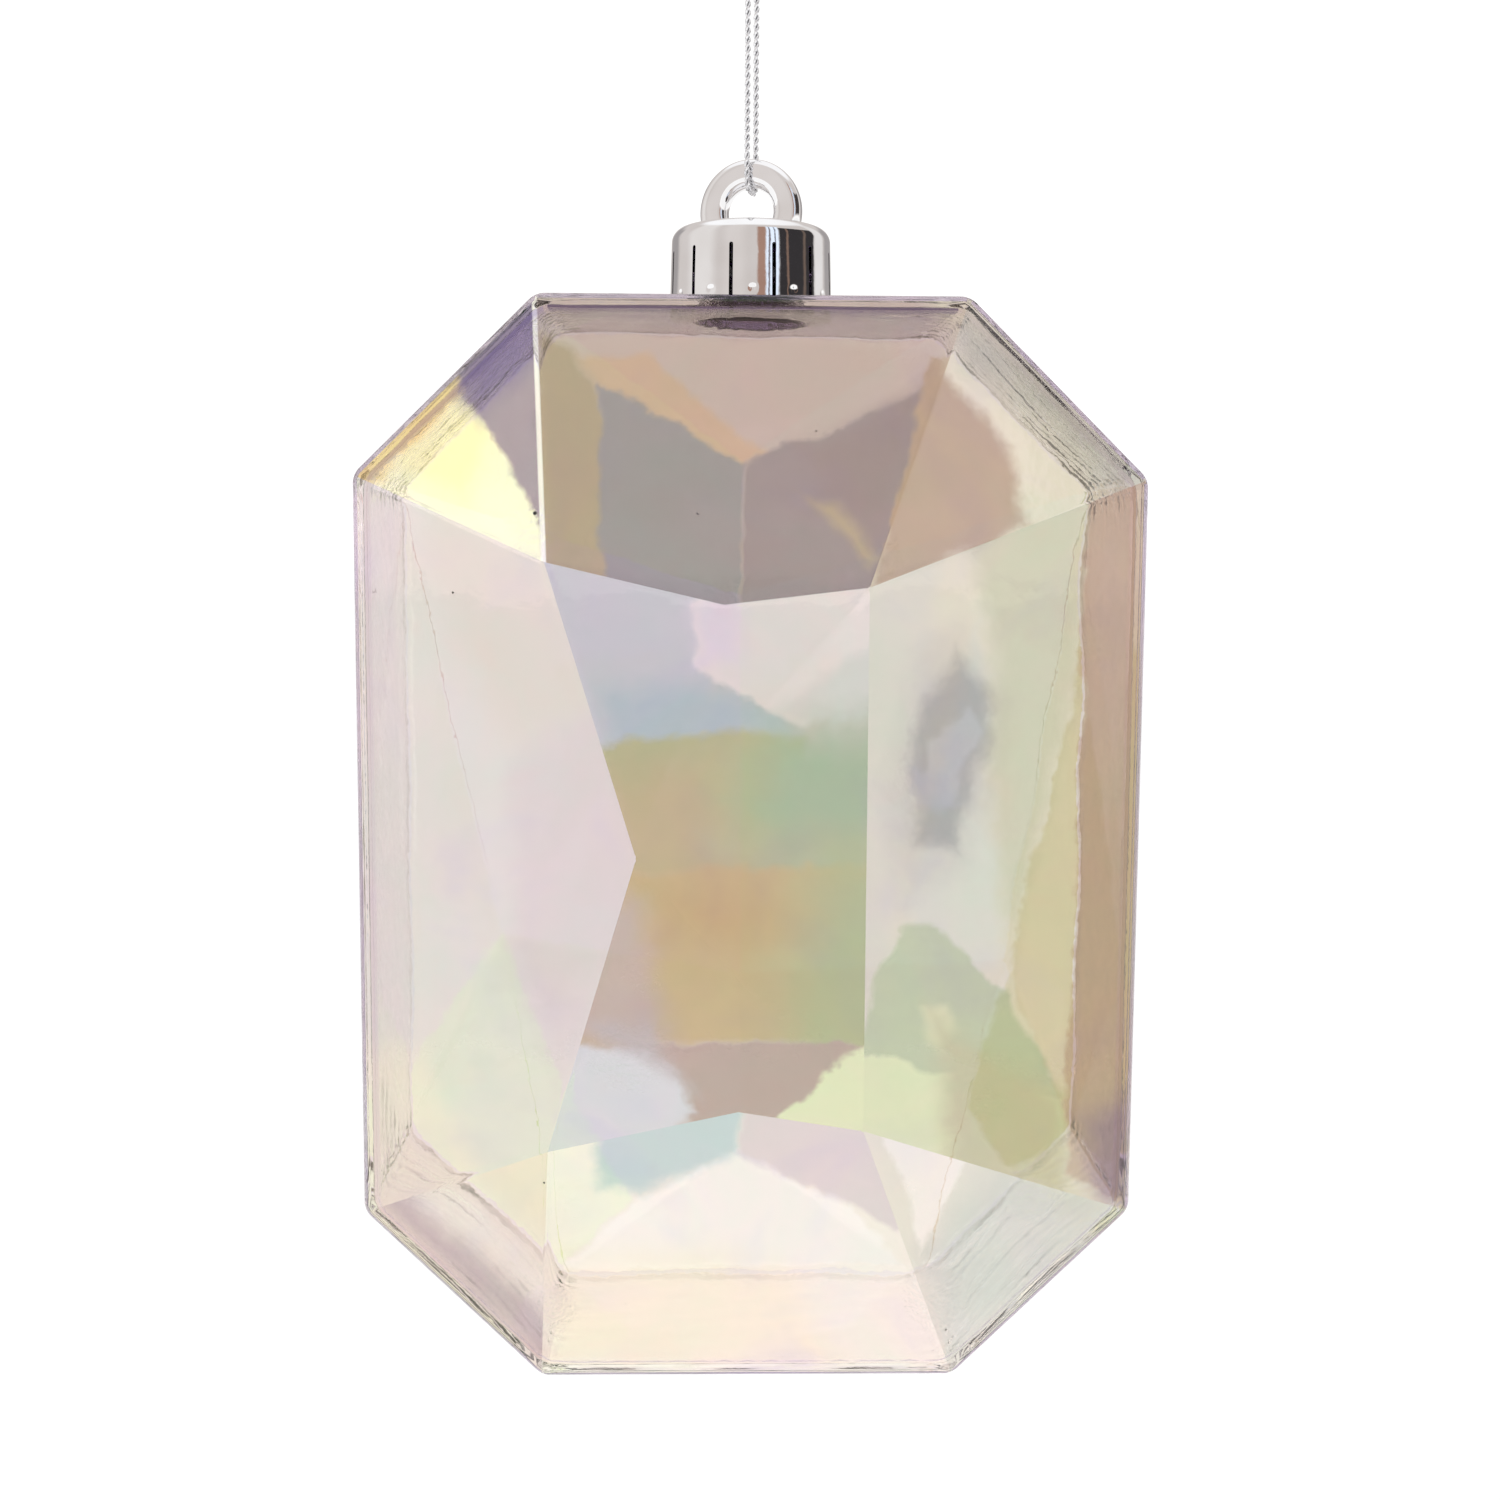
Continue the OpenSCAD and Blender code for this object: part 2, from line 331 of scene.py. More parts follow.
def gem_material(name, art, coated=True, film=True):
    """Clear plastic with an iridescent coating. art holds patches by facet, the coating's tints mixed with painted
    reflections and refractions, or for every facet under None.
    """
    m, nt, bsdf = new_material(name)
    where = node(nt, "ShaderNodeTexCoord").outputs["Object"]
    pos = node(nt, "ShaderNodeVectorMath", {0: where, 1: (0, 0, -MID_Z * MM)}, operation="ADD").outputs[0]
    pos = node(nt, "ShaderNodeVectorMath", {0: pos, 3: 1000.0}, operation="SCALE").outputs[0]
    # the tint of the facet that the surface belongs to, the coating's tint with its painted reflection and shade, is
    # stored on the mesh, with the facet's number in its alpha
    stored = node(nt, "ShaderNodeAttribute", attribute_name="facet")
    colour = stored.outputs["Color"]
    if art:
        # the patches' edges wander a little
        wob = node(nt, "ShaderNodeTexNoise", {"Vector": pos, "Scale": 0.16, "Detail": 4.0, "Roughness": 0.62})
        wob = node(nt, "ShaderNodeVectorMath", {0: wob.outputs["Color"], 1: (0.5, 0.5, 0.5)}, operation="SUBTRACT").outputs[0]
        wob = node(nt, "ShaderNodeVectorMath", {0: wob, 3: 4.0}, operation="SCALE").outputs[0]
        sep = node(nt, "ShaderNodeSeparateXYZ", {0: node(nt, "ShaderNodeVectorMath", {0: pos, 1: wob}, operation="ADD").outputs[0]})
        here = node(nt, "ShaderNodeCombineXYZ", {0: sep.outputs[0], 1: sep.outputs[2], 2: 1.0}).outputs[0]
        sep = node(nt, "ShaderNodeSeparateXYZ", {0: pos})
        straight = node(nt, "ShaderNodeCombineXYZ", {0: sep.outputs[0], 1: sep.outputs[2], 2: 1.0}).outputs[0]
        for facet, items in art.items():
            laid = patches(nt, here, straight, stored.outputs["Color"], items)
            if facet is None:
                colour = laid
            else:
                only = math_node(nt, "COMPARE", stored.outputs["Alpha"], facet_number(facet), 0.004)
                colour = node(nt, "ShaderNodeMix", {0: only, 6: colour, 7: laid}, data_type="RGBA").outputs[2]
    if coated:
        # cloudy drift of the coating
        drift = node(nt, "ShaderNodeTexNoise", {"Vector": pos, "Scale": 0.05, "Detail": 3.0, "Roughness": 0.55, "Distortion": 0.6})
        hue = ramp(nt, drift.outputs[0], [(0.30, lin(247, 242, 250)), (0.45, lin(255, 251, 248)), (0.58, lin(250, 252, 246)), (0.72, lin(255, 248, 243))])
        colour = node(nt, "ShaderNodeMix", {0: 0.7, 6: colour, 7: hue}, data_type="RGBA", blend_type="MULTIPLY").outputs[2]
    if art:
        # pin-hole specks in the coating
        vor = node(nt, "ShaderNodeTexVoronoi", {"Vector": pos, "Scale": 0.115, "Randomness": 1.0})
        cell = node(nt, "ShaderNodeSeparateColor", {0: vor.outputs["Color"]})
        speck = math_node(nt, "MULTIPLY", math_node(nt, "LESS_THAN", vor.outputs["Distance"], 0.028), math_node(nt, "LESS_THAN", cell.outputs[0], 0.3))
        colour = node(nt, "ShaderNodeMix", {0: speck, 6: colour, 7: (0.03, 0.03, 0.035, 1)}, data_type="RGBA").outputs[2]
    # only the outer skin is coated, so it takes the whole tint of the wall
    colour = node(nt, "ShaderNodeGamma", {0: colour, 1: 2.0}).outputs[0]
    nt.links.new(colour, bsdf.inputs["Base Color"])
    bsdf.inputs["Transmission Weight"].default_value = 1.0
    bsdf.inputs["IOR"].default_value = 1.47
    bsdf.inputs["Roughness"].default_value = 0.015
    if coated and film:
        depth = node(nt, "ShaderNodeTexNoise", {"Vector": pos, "Scale": 0.022, "Detail": 2.0, "Distortion": 1.0})
        thick = node(nt, "ShaderNodeMapRange", {0: depth.outputs[0], 1: 0.3, 2: 0.7, 3: 465.0, 4: 525.0}).outputs[0]
        nt.links.new(thick, bsdf.inputs["Thin Film Thickness"])
        bsdf.inputs["Thin Film IOR"].default_value = 1.54
    if art:
        # orange peel, and rough spots by the inner facet corners
        peel = node(nt, "ShaderNodeTexNoise", {"Vector": pos, "Scale": 0.55, "Detail": 2.0})
        rough = node(nt, "ShaderNodeTexNoise", {"Vector": pos, "Scale": 1.7, "Detail": 3.0})
        spots = None
        for cx, cz, r in ((-14.5, -23.5, 6), (-29.5, 47, 5), (-26, 40, 4.5), (23.5, -57, 5.5), (35.5, -44, 3.5), (-25, -58, 4)):
            d = node(nt, "ShaderNodeVectorMath", {0: node(nt, "ShaderNodeVectorMath", {0: pos, 1: (1, 0, 1)}, operation="MULTIPLY").outputs[0], 1: (cx, 0, cz)}, operation="DISTANCE").outputs["Value"]
            k = node(nt, "ShaderNodeMapRange", {0: d, 1: r, 2: r * 0.3, 3: 0.0, 4: 1.0}, interpolation_type="SMOOTHSTEP").outputs[0]
            spots = k if spots is None else math_node(nt, "MAXIMUM", spots, k)
        h = math_node(nt, "ADD", math_node(nt, "MULTIPLY", peel.outputs[0], 0.10), math_node(nt, "MULTIPLY", math_node(nt, "MULTIPLY", rough.outputs[0], spots), 0.9))
        bump = node(nt, "ShaderNodeBump", {"Height": h, "Distance": 0.0004, "Strength": 0.5})
        nt.links.new(bump.outputs[0], bsdf.inputs["Normal"])
    return m


def gem_materials():
    """The gem's front skin, back skin, band and rim, and inside."""
    return (
        gem_material("iridescent_front", FRONT_ART),
        gem_material("iridescent_back", {None: BACK_ART}),
        gem_material("iridescent_band", {}, film=False),
        gem_material("clear_inside", {}, coated=False),
    )


def chrome_material():
    m, nt, bsdf = new_material("mirror_plated_plastic")
    pos = node(nt, "ShaderNodeVectorMath", {0: node(nt, "ShaderNodeTexCoord").outputs["Object"], 3: 1000.0}, operation="SCALE").outputs[0]
    n1 = node(nt, "ShaderNodeTexNoise", {"Vector": pos, "Scale": 0.22, "Detail": 1.5})
    n2 = node(nt, "ShaderNodeTexNoise", {"Vector": pos, "Scale": 2.4, "Detail": 3.0})
    tone = ramp(nt, n1.outputs[0], [(0.3, (0.86, 0.85, 0.85)), (0.7, (0.93, 0.93, 0.94))])
    nt.links.new(tone, bsdf.inputs["Base Color"])
    bsdf.inputs["Metallic"].default_value = 1.0
    rough = node(nt, "ShaderNodeMapRange", {0: n2.outputs[0], 1: 0.35, 2: 0.75, 3: 0.025, 4: 0.07}).outputs[0]
    nt.links.new(rough, bsdf.inputs["Roughness"])
    h = math_node(nt, "ADD", math_node(nt, "MULTIPLY", n1.outputs[0], 0.5), math_node(nt, "MULTIPLY", n2.outputs[0], 0.02))
    bump = node(nt, "ShaderNodeBump", {"Height": h, "Distance": 0.0004, "Strength": 0.35})
    nt.links.new(bump.outputs[0], bsdf.inputs["Normal"])
    return m


def cord_materials():
    m, nt, bsdf = new_material("metallic_cord")
    uv = node(nt, "ShaderNodeUVMap", uv_map="ply")
    sep = node(nt, "ShaderNodeSeparateXYZ", {0: uv.outputs[0]})
    # flat metallic strip wound round each ply: a shallow groove every 0.35 mm
    lay = math_node(nt, "FRACT", math_node(nt, "ADD", math_node(nt, "MULTIPLY", sep.outputs[0], 1 / 0.35), sep.outputs[1]))
    groove = node(nt, "ShaderNodeMapRange", {0: math_node(nt, "ABSOLUTE", math_node(nt, "SUBTRACT", lay, 0.5)), 1: 0.30, 2: 0.5, 3: 0.0, 4: 1.0}, interpolation_type="SMOOTHSTEP").outputs[0]
    pos = node(nt, "ShaderNodeVectorMath", {0: node(nt, "ShaderNodeTexCoord").outputs["Object"], 3: 1000.0}, operation="SCALE").outputs[0]
    grain = node(nt, "ShaderNodeTexNoise", {"Vector": pos, "Scale": 3.5, "Detail": 2.0})
    silver = ramp(nt, grain.outputs[0], [(0.35, (0.74, 0.74, 0.76)), (0.6, (0.95, 0.95, 0.96))])
    # painted shade: the colour darkens a fifth of the way to near-black in each groove
    col = node(nt, "ShaderNodeMix", {0: math_node(nt, "MULTIPLY", groove, 0.2), 6: silver, 7: (0.10, 0.10, 0.11, 1)}, data_type="RGBA").outputs[2]
    nt.links.new(col, bsdf.inputs["Base Color"])
    bsdf.inputs["Metallic"].default_value = 0.9
    bsdf.inputs["Roughness"].default_value = 0.28
    bump = node(nt, "ShaderNodeBump", {"Height": math_node(nt, "SUBTRACT", 1.0, groove), "Distance": 0.00005, "Strength": 0.35})
    nt.links.new(bump.outputs[0], bsdf.inputs["Normal"])
    c, ct, cb = new_material("cord_core")
    p2 = node(ct, "ShaderNodeVectorMath", {0: node(ct, "ShaderNodeTexCoord").outputs["Object"], 3: 1000.0}, operation="SCALE").outputs[0]
    fib = node(ct, "ShaderNodeTexNoise", {"Vector": p2, "Scale": 6.0, "Detail": 2.0})
    ct.links.new(ramp(ct, fib.outputs[0], [(0.3, (0.02, 0.02, 0.022)), (0.7, (0.09, 0.09, 0.10))]), cb.inputs["Base Color"])
    cb.inputs["Roughness"].default_value = 0.7
    return m, c


# Tint of each facet of the gem, by the name its faces carry: the coating's pastel tint mixed with painted reflection
# and shade, so each facet, band side and rim is lighter or darker by what it mirrors; the dark purple neck and the
# brown right band are painted dark reflection and shade.
FACETS = {
    "front_top": lin(204, 192, 190), "front_top_right": lin(232, 228, 216), "front_right": lin(228, 225, 214),
    "front_bottom_right": lin(236, 233, 228), "front_bottom": lin(250, 246, 243), "front_bottom_left": lin(243, 232, 223),
    "front_left": lin(232, 230, 230), "front_top_left": lin(246, 248, 226), "front_table": lin(212, 206, 206),
    "back_top": lin(250, 242, 236), "back_top_right": lin(250, 246, 240), "back_right": lin(246, 242, 230),
    "back_bottom_right": lin(250, 248, 244), "back_bottom": lin(252, 248, 246), "back_bottom_left": lin(248, 245, 238),
    "back_left": lin(250, 245, 243), "back_top_left": lin(250, 248, 236), "back_mid_left": lin(250, 245, 246),
    "back_mid_right": lin(248, 247, 243), "back_low_left": lin(250, 246, 243), "back_low_right": lin(248, 245, 240),
    "band_top": lin(220, 208, 214), "band_top_right": lin(220, 212, 210), "band_right": lin(210, 194, 178),
    "band_bottom_right": lin(244, 241, 240), "band_bottom": lin(250, 242, 240), "band_bottom_left": lin(236, 224, 226),
    "band_left": lin(234, 223, 228), "band_top_left": lin(196, 186, 212), "neck": lin(120, 106, 138), "rim": lin(206, 196, 216),
    "rim_back": lin(242, 238, 244),
}
# The painted patches of colour, on the front and on the back of the gem: the coating's pastel tints mixed with painted
# reflections and refractions, each patch lighter or darker by what the skin mirrors and what shows through the wall;
# they stay fixed on the skin and don't shift with the view as a real coating would.
FRONT_ART = {
    "front_top": [
        ([(-23.5, 65), (-18.5, 56.5), (-1, 47), (22, 56.5), (23.5, 61), (-6, 65)], 1.5, lin(199, 185, 182), 0.8),  # rosy tan
        ([(-21.5, 61), (-18.5, 57), (-2, 47), (2, 48.5), (-12.5, 60.5)], 0.8, lin(205, 182, 164), 1),  # orange ray
        ([(-26, 27), (-15.5, 27), (-18.5, 57), (-22, 62), (-26, 63)], 0.8, lin(182, 168, 150), 1),  # brown column
        ([(-18.5, 41.5), (-17, 27), (-1.5, 27), (-1, 47.5), (-18.5, 57.5)], 0.5, lin(161, 157, 165), 1),  # slate
        ([(-1.5, 27), (18.5, 27), (21.5, 57), (-1, 47.5)], 0.5, lin(163, 153, 157), 1),  # mauve
        ([(6, 49.5), (13.5, 36.5), (16.5, 41.5), (20.5, 56.5)], 2.5, lin(162, 148, 150), 0.9),  # mauve deep
        ([(13.5, 27), (32, 27), (32, 61), (21.5, 61), (16, 39)], 0.5, lin(188, 168, 150), 1),  # tan by the right corner
        ([(7, 43.5), (14, 36), (15, 36.5), (10, 43)], 1.2, lin(192, 178, 152), 0.8),  # pale ray
        ([(21.5, 68.5), (25, 57), (32, 51.5), (32, 68.5)], 2.5, lin(222, 217, 204), 1),  # upper right cream
        ([(-27.2, 69), (-26.3, 69), (-24.5, 35), (-25.4, 35)], 0.12, lin(255, 255, 255), 1),  # painted highlight along the rounded edge
    ],
    "front_top_right": [
        ([(13.5, 31.5), (33.5, 41), (31, 50), (25.5, 56.5), (21.5, 61), (16, 41.5)], 1.2, lin(192, 173, 156), 1),  # tan
        ([(23.5, 68.5), (26, 60), (46.5, 44), (49, 47.5)], 3, lin(194, 196, 188), 0.9),  # cream band
    ],
    "front_top_left": [
        ([(-51.5, 44), (-45, 46), (-33, 58), (-34.5, 61), (-49, 50)], 0.8, lin(246, 220, 166), 1),  # orange edge
        ([(-45.5, 46.5), (-34.5, 43), (-31, 51.5), (-34.5, 56.5)], 3, lin(250, 244, 200), 0.8),  # warm middle
        ([(-36.5, 59), (-32.5, 52.5), (-22.5, 36.5), (-22, 68.5), (-27, 71)], 0.5, lin(172, 162, 176), 1),  # purple
        ([(-36.5, 59), (-33, 54), (-23.5, 63.5), (-22, 70), (-27, 71)], 2.5, lin(140, 128, 168), 0.8),  # purple deep
        ([(-26.9, 69), (-26.3, 69), (-24.5, 35), (-25.1, 35)], 0.12, lin(255, 255, 255), 1),  # painted highlight along the rounded edge
    ],
    "front_left": [
        ([(-51.5, -45.5), (-42.5, -42), (-43, 44), (-51.5, 46.5)], 1.5, lin(232, 228, 230), 0.8),  # rim strip
        ([(-42, 36.5), (-34.5, 19.5), (-23.5, 12), (-18.5, 19.5), (-22, 36.5), (-38, 44)], 5, lin(229, 222, 218), 0.8),  # upper strip
        ([(-29.5, -10), (-23.5, -27.5), (-8.5, 0), (-18.5, 19.5), (-29.5, 12)], 2.5, lin(226, 219, 224), 0.9),  # lavender
        ([(-44.5, 12), (-38, -17.5), (-28.5, -5), (-34.5, 19.5)], 4, lin(230, 228, 230), 0.8),  # lavender upper
        ([(-50.5, -45.5), (-37, -49.5), (-31, -42), (-42, -25), (-50.5, -25)], 3, lin(246, 237, 230), 0.9),  # lower pink
    ],
    "front_table": [
        ([(-30.5, 39), (-19.5, 12.5), (-13.5, 14.5), (-6, 20), (6, 34.5)], 1, lin(205, 206, 218), 1),  # lavender
        ([(-18, 21), (-16, 13), (4.5, 15.5), (4.5, 19), (-6, 22)], 2.5, lin(182, 199, 212), 0.9),  # blue
        ([(-7.5, 30.5), (-6.5, 24), (-1.5, 20), (6, 17), (18, 21), (18, 36.5), (-3, 36.5)], 0.5, lin(234, 226, 230), 1),  # pink white
        ([(-7.5, 30.5), (-6, 24.5), (-1.5, 24.5), (-1.5, 34.5)], 2, lin(228, 218, 238), 0.8),  # violet glow
        ([(2.5, 19), (8.5, 17), (15.5, 17), (15.5, 27)], 1.2, lin(218, 217, 220), 0.9),  # grey white
        ([(-23, -0.5), (6, -1), (6, 15.5), (-7.5, 16), (-23, 13.5)], 0.9, lin(189, 189, 154), 1),  # olive
        ([(-20.5, -0.5), (-2.5, -0.5), (-6, 11.5), (-20.5, 10.5)], 4, lin(198, 184, 150), 0.8),  # orange upper
        ([(-0.5, 7.5), (4.5, -2), (20.5, -1.5), (20.5, 17), (2.5, 16)], 5, lin(171, 190, 168), 1),  # green
        ([(-6, -1), (18, -1), (18, 3), (-6, 4)], 3, lin(188, 190, 164), 0.6),  # olive lower edge
        ([(-25.5, -22), (20.5, -22), (20.5, 0), (-25.5, -0.5)], 0.9, lin(202, 186, 147), 1),  # orange
        ([(-12, -2), (-11, -9), (-1.5, -11.5), (4.5, -6), (-1.5, -1.5)], 5, lin(200, 176, 132), 0.8),  # orange deep
        ([(4.5, -11.5), (6, -25), (25, -25), (25, 3), (9.5, 1.5)], 7, lin(182, 193, 157), 1),  # yellow green
        ([(-23, -22), (-10, -22), (-13.5, -4.5), (-23, -2)], 3, lin(200, 186, 182), 0.9),  # mauve left
        ([(-13.5, -22), (-6, -33.5), (-1.5, -34.5), (18, -22)], 0.4, lin(190, 175, 168), 1),  # mauve brown
        ([(-28, -37), (-13.5, -37), (-7, -30.5), (-10, -24), (-13.5, -22.5), (-25.5, -22)], 0.8, lin(218, 222, 232), 1),  # low white
        ([(-19.5, -19), (-18, -21), (-7.5, -27.5), (-12, -20)], 1.5, lin(196, 192, 196), 0.8),  # grey edge of the white
        ([(2.5, -32), (18.5, -38), (18.5, -22.5), (13.5, -22)], 0.4, lin(230, 238, 206), 1),  # green wedge
    ],
    "front_right": [
        ([(11, -22.5), (14, -22.5), (18.5, -5), (21.5, 19.5), (22, 36.5), (11, 36.5)], 2, lin(223, 221, 217), 1),  # white column
        ([(18.5, -5), (24.5, -17), (31, -12.5), (31, 7), (27, 27)], 1.5, lin(222, 224, 220), 1),  # pale middle
        ([(23.5, 44), (29.5, 27), (40, 19.5), (42, 46.5)], 2, lin(210, 210, 194), 1),  # green cream
        ([(29, 7), (32.5, -11.5), (40.5, 24.5), (29.5, 28.5)], 2, lin(212, 213, 196), 1),  # green cream low
        ([(12.5, -23), (31, -30.5), (39.5, -31), (31, -16), (23, -8), (19, -7.5), (16, -12.5)], 0.6, lin(197, 208, 186), 1),  # sage
        ([(21.5, -22), (23.5, -23.5), (25.5, -21), (24.5, -18), (21.5, -18.5)], 1, lin(222, 226, 200), 1),  # pale drop
        ([(11, -37), (38, -42), (40, -31.5), (11, -22.5)], 0.5, lin(226, 234, 204), 1),  # green wedge
        ([(23, -20), (24.5, -42), (40, -44), (40, -31)], 2.5, lin(204, 202, 178), 1),  # tan end of the wedge
        ([(40, -41), (51.5, -47), (51.5, 47.5), (41, 47.5)], 0.5, lin(206, 190, 176), 1),  # rim strip
        ([(42.5, -33.5), (44.5, -44.5), (51.5, -47), (51.5, -28.5)], 3, lin(176, 158, 178), 1),  # low corner purple
    ],
    "front_bottom": [
        ([(-19.5, -29.5), (-18.5, -41), (-13.5, -41.5), (-1.5, -36), (-0.5, -29.5)], 1.2, lin(202, 220, 226), 1),  # mint
        ([(-1.5, -36), (19.5, -47), (18.5, -28.5), (-0.5, -28.5)], 0.6, lin(228, 220, 227), 1),  # lavender
        ([(16.5, -28.5), (19, -47), (22, -50), (25, -42), (29, -28.5)], 0.5, lin(249, 244, 244), 1),  # wedge
        ([(-26, -66.5), (11, -66.5), (6, -53), (-6, -49), (-25, -50.5)], 4, lin(251, 244, 230), 0.9),  # cream
    ],
    "front_bottom_right": [
        ([(22, -50), (26, -66.5), (50.5, -45.5), (31, -37)], 4, lin(215, 219, 218), 1),  # grey
        ([(16, -32), (22, -50), (27.5, -36.5)], 0.6, lin(249, 246, 246), 1),  # wedge
    ],
    "front_bottom_left": [
        ([(-46.5, -42.5), (-25, -64), (-23.5, -53), (-34.5, -41)], 4, lin(248, 245, 243), 0.9),  # pink
        ([(-49, -42), (-26, -66.5), (-23.5, -60.5), (-45.5, -41)], 2.5, lin(203, 188, 198), 0.9),  # violet edge
    ],
}
BACK_ART = [
    ([(-36, 67.5), (38, 67.5), (38, 71), (-36, 71)], 1, lin(238, 228, 226), 1),  # rim top
    ([(-51, -48), (-27, -48), (-27, -41), (-35.5, -17.5), (-49.5, -39)], 0.7, lin(247, 253, 236), 1),  # low left: yellow green
    ([(-51, -46.5), (-27, -67.5), (-16.5, -57.5), (-28.5, -37.5), (-49.5, -41)], 0.7, lin(247, 253, 236), 1),  # low left: yellow green foot
    ([(44, 1), (50.5, -2), (50.5, 39)], 0.5, lin(230, 223, 190), 1),  # right: olive strip
    ([(38, -24), (45.5, -50), (50.5, -51), (50.5, 4), (44.5, 4)], 0.5, lin(230, 223, 190), 1),  # right: olive strip low
    ([(20.5, -2), (24, -13.5), (32, -7.5), (38, 16), (31, 27), (24, 23.5)], 3, lin(232, 230, 230), 0.8),  # right: grey veil
    ([(23.5, 5.5), (25.5, -5), (30, -5.5), (34.5, 8.5), (34.5, 17.5), (30, 22.5), (26, 16)], 1.8, lin(188, 190, 196), 1),  # right: grey diamond
    ([(25.5, 2.5), (30, 1), (34, 11.5), (31.5, 15.5), (27, 10)], 0.7, lin(208, 211, 222), 0.8),  # right: dark diamond
    ([(24, 5), (24.5, 1), (28, -0.5), (31, 1), (28.5, 5.5)], 1.2, lin(196, 200, 216), 0.8),  # right: blue foot
    ([(32, -44), (38, -52.5), (48, -49.5), (47, -44), (38, -24)], 0.6, lin(236, 234, 208), 1),  # right: green shade
    ([(-27, -67.5), (23.5, -66.5), (16, -58), (-0.5, -51), (-15.5, -57.5)], 0.6, lin(255, 254, 255), 1),  # low: white star
]

# ---------------------------------------------------------------- gem
HALF_W, HALF_H, BAND, CW, CH, WALL = 49.0, 68.5, 17.0, 22.5, 22.0, 1.5
IN_X, IN_Z, IN_R = 24.8, 35.9, 8.0
SIDE_X, SIDE_Z, TOP_K, BOT_K = 13.8, 1.0, (-3.5, 31.0), (-1.5, -30.5)
RIGHT_X, RIGHT_Z = 13.8, 33.1
BACK = [(-0.5, 50.5, 5.0), (-0.5, -50.5, 5.0), (-35.5, -18.0, 5.0), (37.5, -22.0, 4.3), (-0.5, 31.0, 8.0), (-0.5, -25.0, 8.0)]


def side_rise(x):
    return IN_R * (HALF_W - x) / (HALF_W - IN_X)


def top_rise(z):
    return IN_R * (HALF_H - z) / (HALF_H - IN_Z)


RIDGE = ((TOP_K[0] + BOT_K[0]) / 2, SIDE_Z, side_rise(SIDE_X) - 0.9)


def gem_points(t):
    """The cut gem's corners in mm about its middle, moved in by t: front rim, back rim, front facets, back table."""
    n = math.hypot(CW, CH)
    a, h = HALF_W - t, HALF_H - t
    u, v = CW - t + t * (n - CW) / CH, CH - t + t * (n - CH) / CW
    ring = [(-a + u, h), (a - u, h), (a, h - v), (a, -h + v), (a - u, -h), (-a + u, -h), (-a, -h + v), (-a, h - v)]
    k, e = t * 1.05, t * 0.15
    f, b = -BAND, BAND
    pts = [(p[0], f + t * 0.76, p[1]) for p in ring] + [(p[0], b - t * 0.78, p[1]) for p in ring]
    pts += [
        (-IN_X + e, f - IN_R + k, IN_Z - e),
        (RIGHT_X - e, f - top_rise(RIGHT_Z) + k, RIGHT_Z - e),
        (RIGHT_X - e, f - top_rise(RIGHT_Z) + k, -RIGHT_Z + e),
        (-IN_X + e, f - IN_R + k, -IN_Z + e),
        (TOP_K[0], f - top_rise(TOP_K[1]) + k, TOP_K[1] - e),
        (BOT_K[0], f - top_rise(-BOT_K[1]) + k, BOT_K[1] + e),
        (-SIDE_X + e, f - side_rise(SIDE_X) + k, SIDE_Z),
        (RIDGE[0], f - RIDGE[2] + t, RIDGE[1]),
    ]
    pts += [(x, b + r - k, z) for x, z, r in BACK[:4]] + [(x, b + r - t, z) for x, z, r in BACK[4:]]
    return pts


FRONT_FACETS = [(0, 1, 17, 20, 16), (1, 2, 17), (2, 3, 18, 17), (3, 4, 18), (4, 5, 19, 21, 18), (5, 6, 19), (6, 7, 16, 22, 19), (7, 0, 16)]
TABLE = [(16, 20, 22), (20, 17, 22), (22, 17, 23), (23, 17, 18), (22, 23, 18), (22, 18, 21), (22, 21, 19)]
BACK_FACETS = [
    (9, 8, 24), (13, 12, 25), (15, 14, 26), (11, 10, 27), (14, 13, 26), (12, 11, 27), (15, 28, 8), (10, 9, 28), (8, 28, 24),
    (9, 24, 28), (15, 26, 28), (10, 28, 27), (13, 25, 26), (12, 27, 25), (25, 29, 26), (25, 27, 29), (29, 28, 26), (29, 27, 28),
]
GEM_FACES = [(i, i + 8, (i + 1) % 8 + 8, (i + 1) % 8) for i in range(8)] + FRONT_FACETS + TABLE + BACK_FACETS


def cut_gem(name, t, rim, depth, facet, table, segments):
    """The cut gem with its edges rounded: rim, depth, facet and table are the widths in mm of each kind of edge."""
    me = mesh_from(name, [((x) * MM, y * MM, (z + MID_Z) * MM) for x, y, z in gem_points(t)], GEM_FACES)
    bm = bmesh.new()
    bm.from_mesh(me)
    bmesh.ops.recalc_face_normals(bm, faces=bm.faces)
    w = bm.edges.layers.float.new("bevel_weight_edge")
    top = max(rim, depth, facet, table)
    for e in bm.edges:
        i, j = sorted(v.index for v in e.verts)
        if j < 16:
            width = rim if (i < 8) == (j < 8) else depth
        elif i < 16:
            width = facet
        elif e.calc_face_angle(0) < math.radians(2.2):
            width = 0.0
        elif 23 in (i, j):
            width = table
        else:
            width = facet
        e[w] = width / top
    bm.to_mesh(me)
    bm.free()
    o = link(name, me)
    m = o.modifiers.new("round", "BEVEL")
    m.limit_method, m.width, m.segments, m.profile = "WEIGHT", top * MM, segments, 0.5
    m.offset_type, m.use_clamp_overlap, m.miter_outer = "OFFSET", True, "MITER_SHARP"
    return baked(o)


def plane_rise(a, b, c):
    """The height of the plane through three (x, z, rise) points, as a function of x and z."""
    a, b, c = (np.array(p, float) for p in (a, b, c))
    n = np.cross(b - a, c - a)
    return lambda x, z: a[2] - (n[0] * (x - a[0]) + n[1] * (z - a[1])) / n[2]


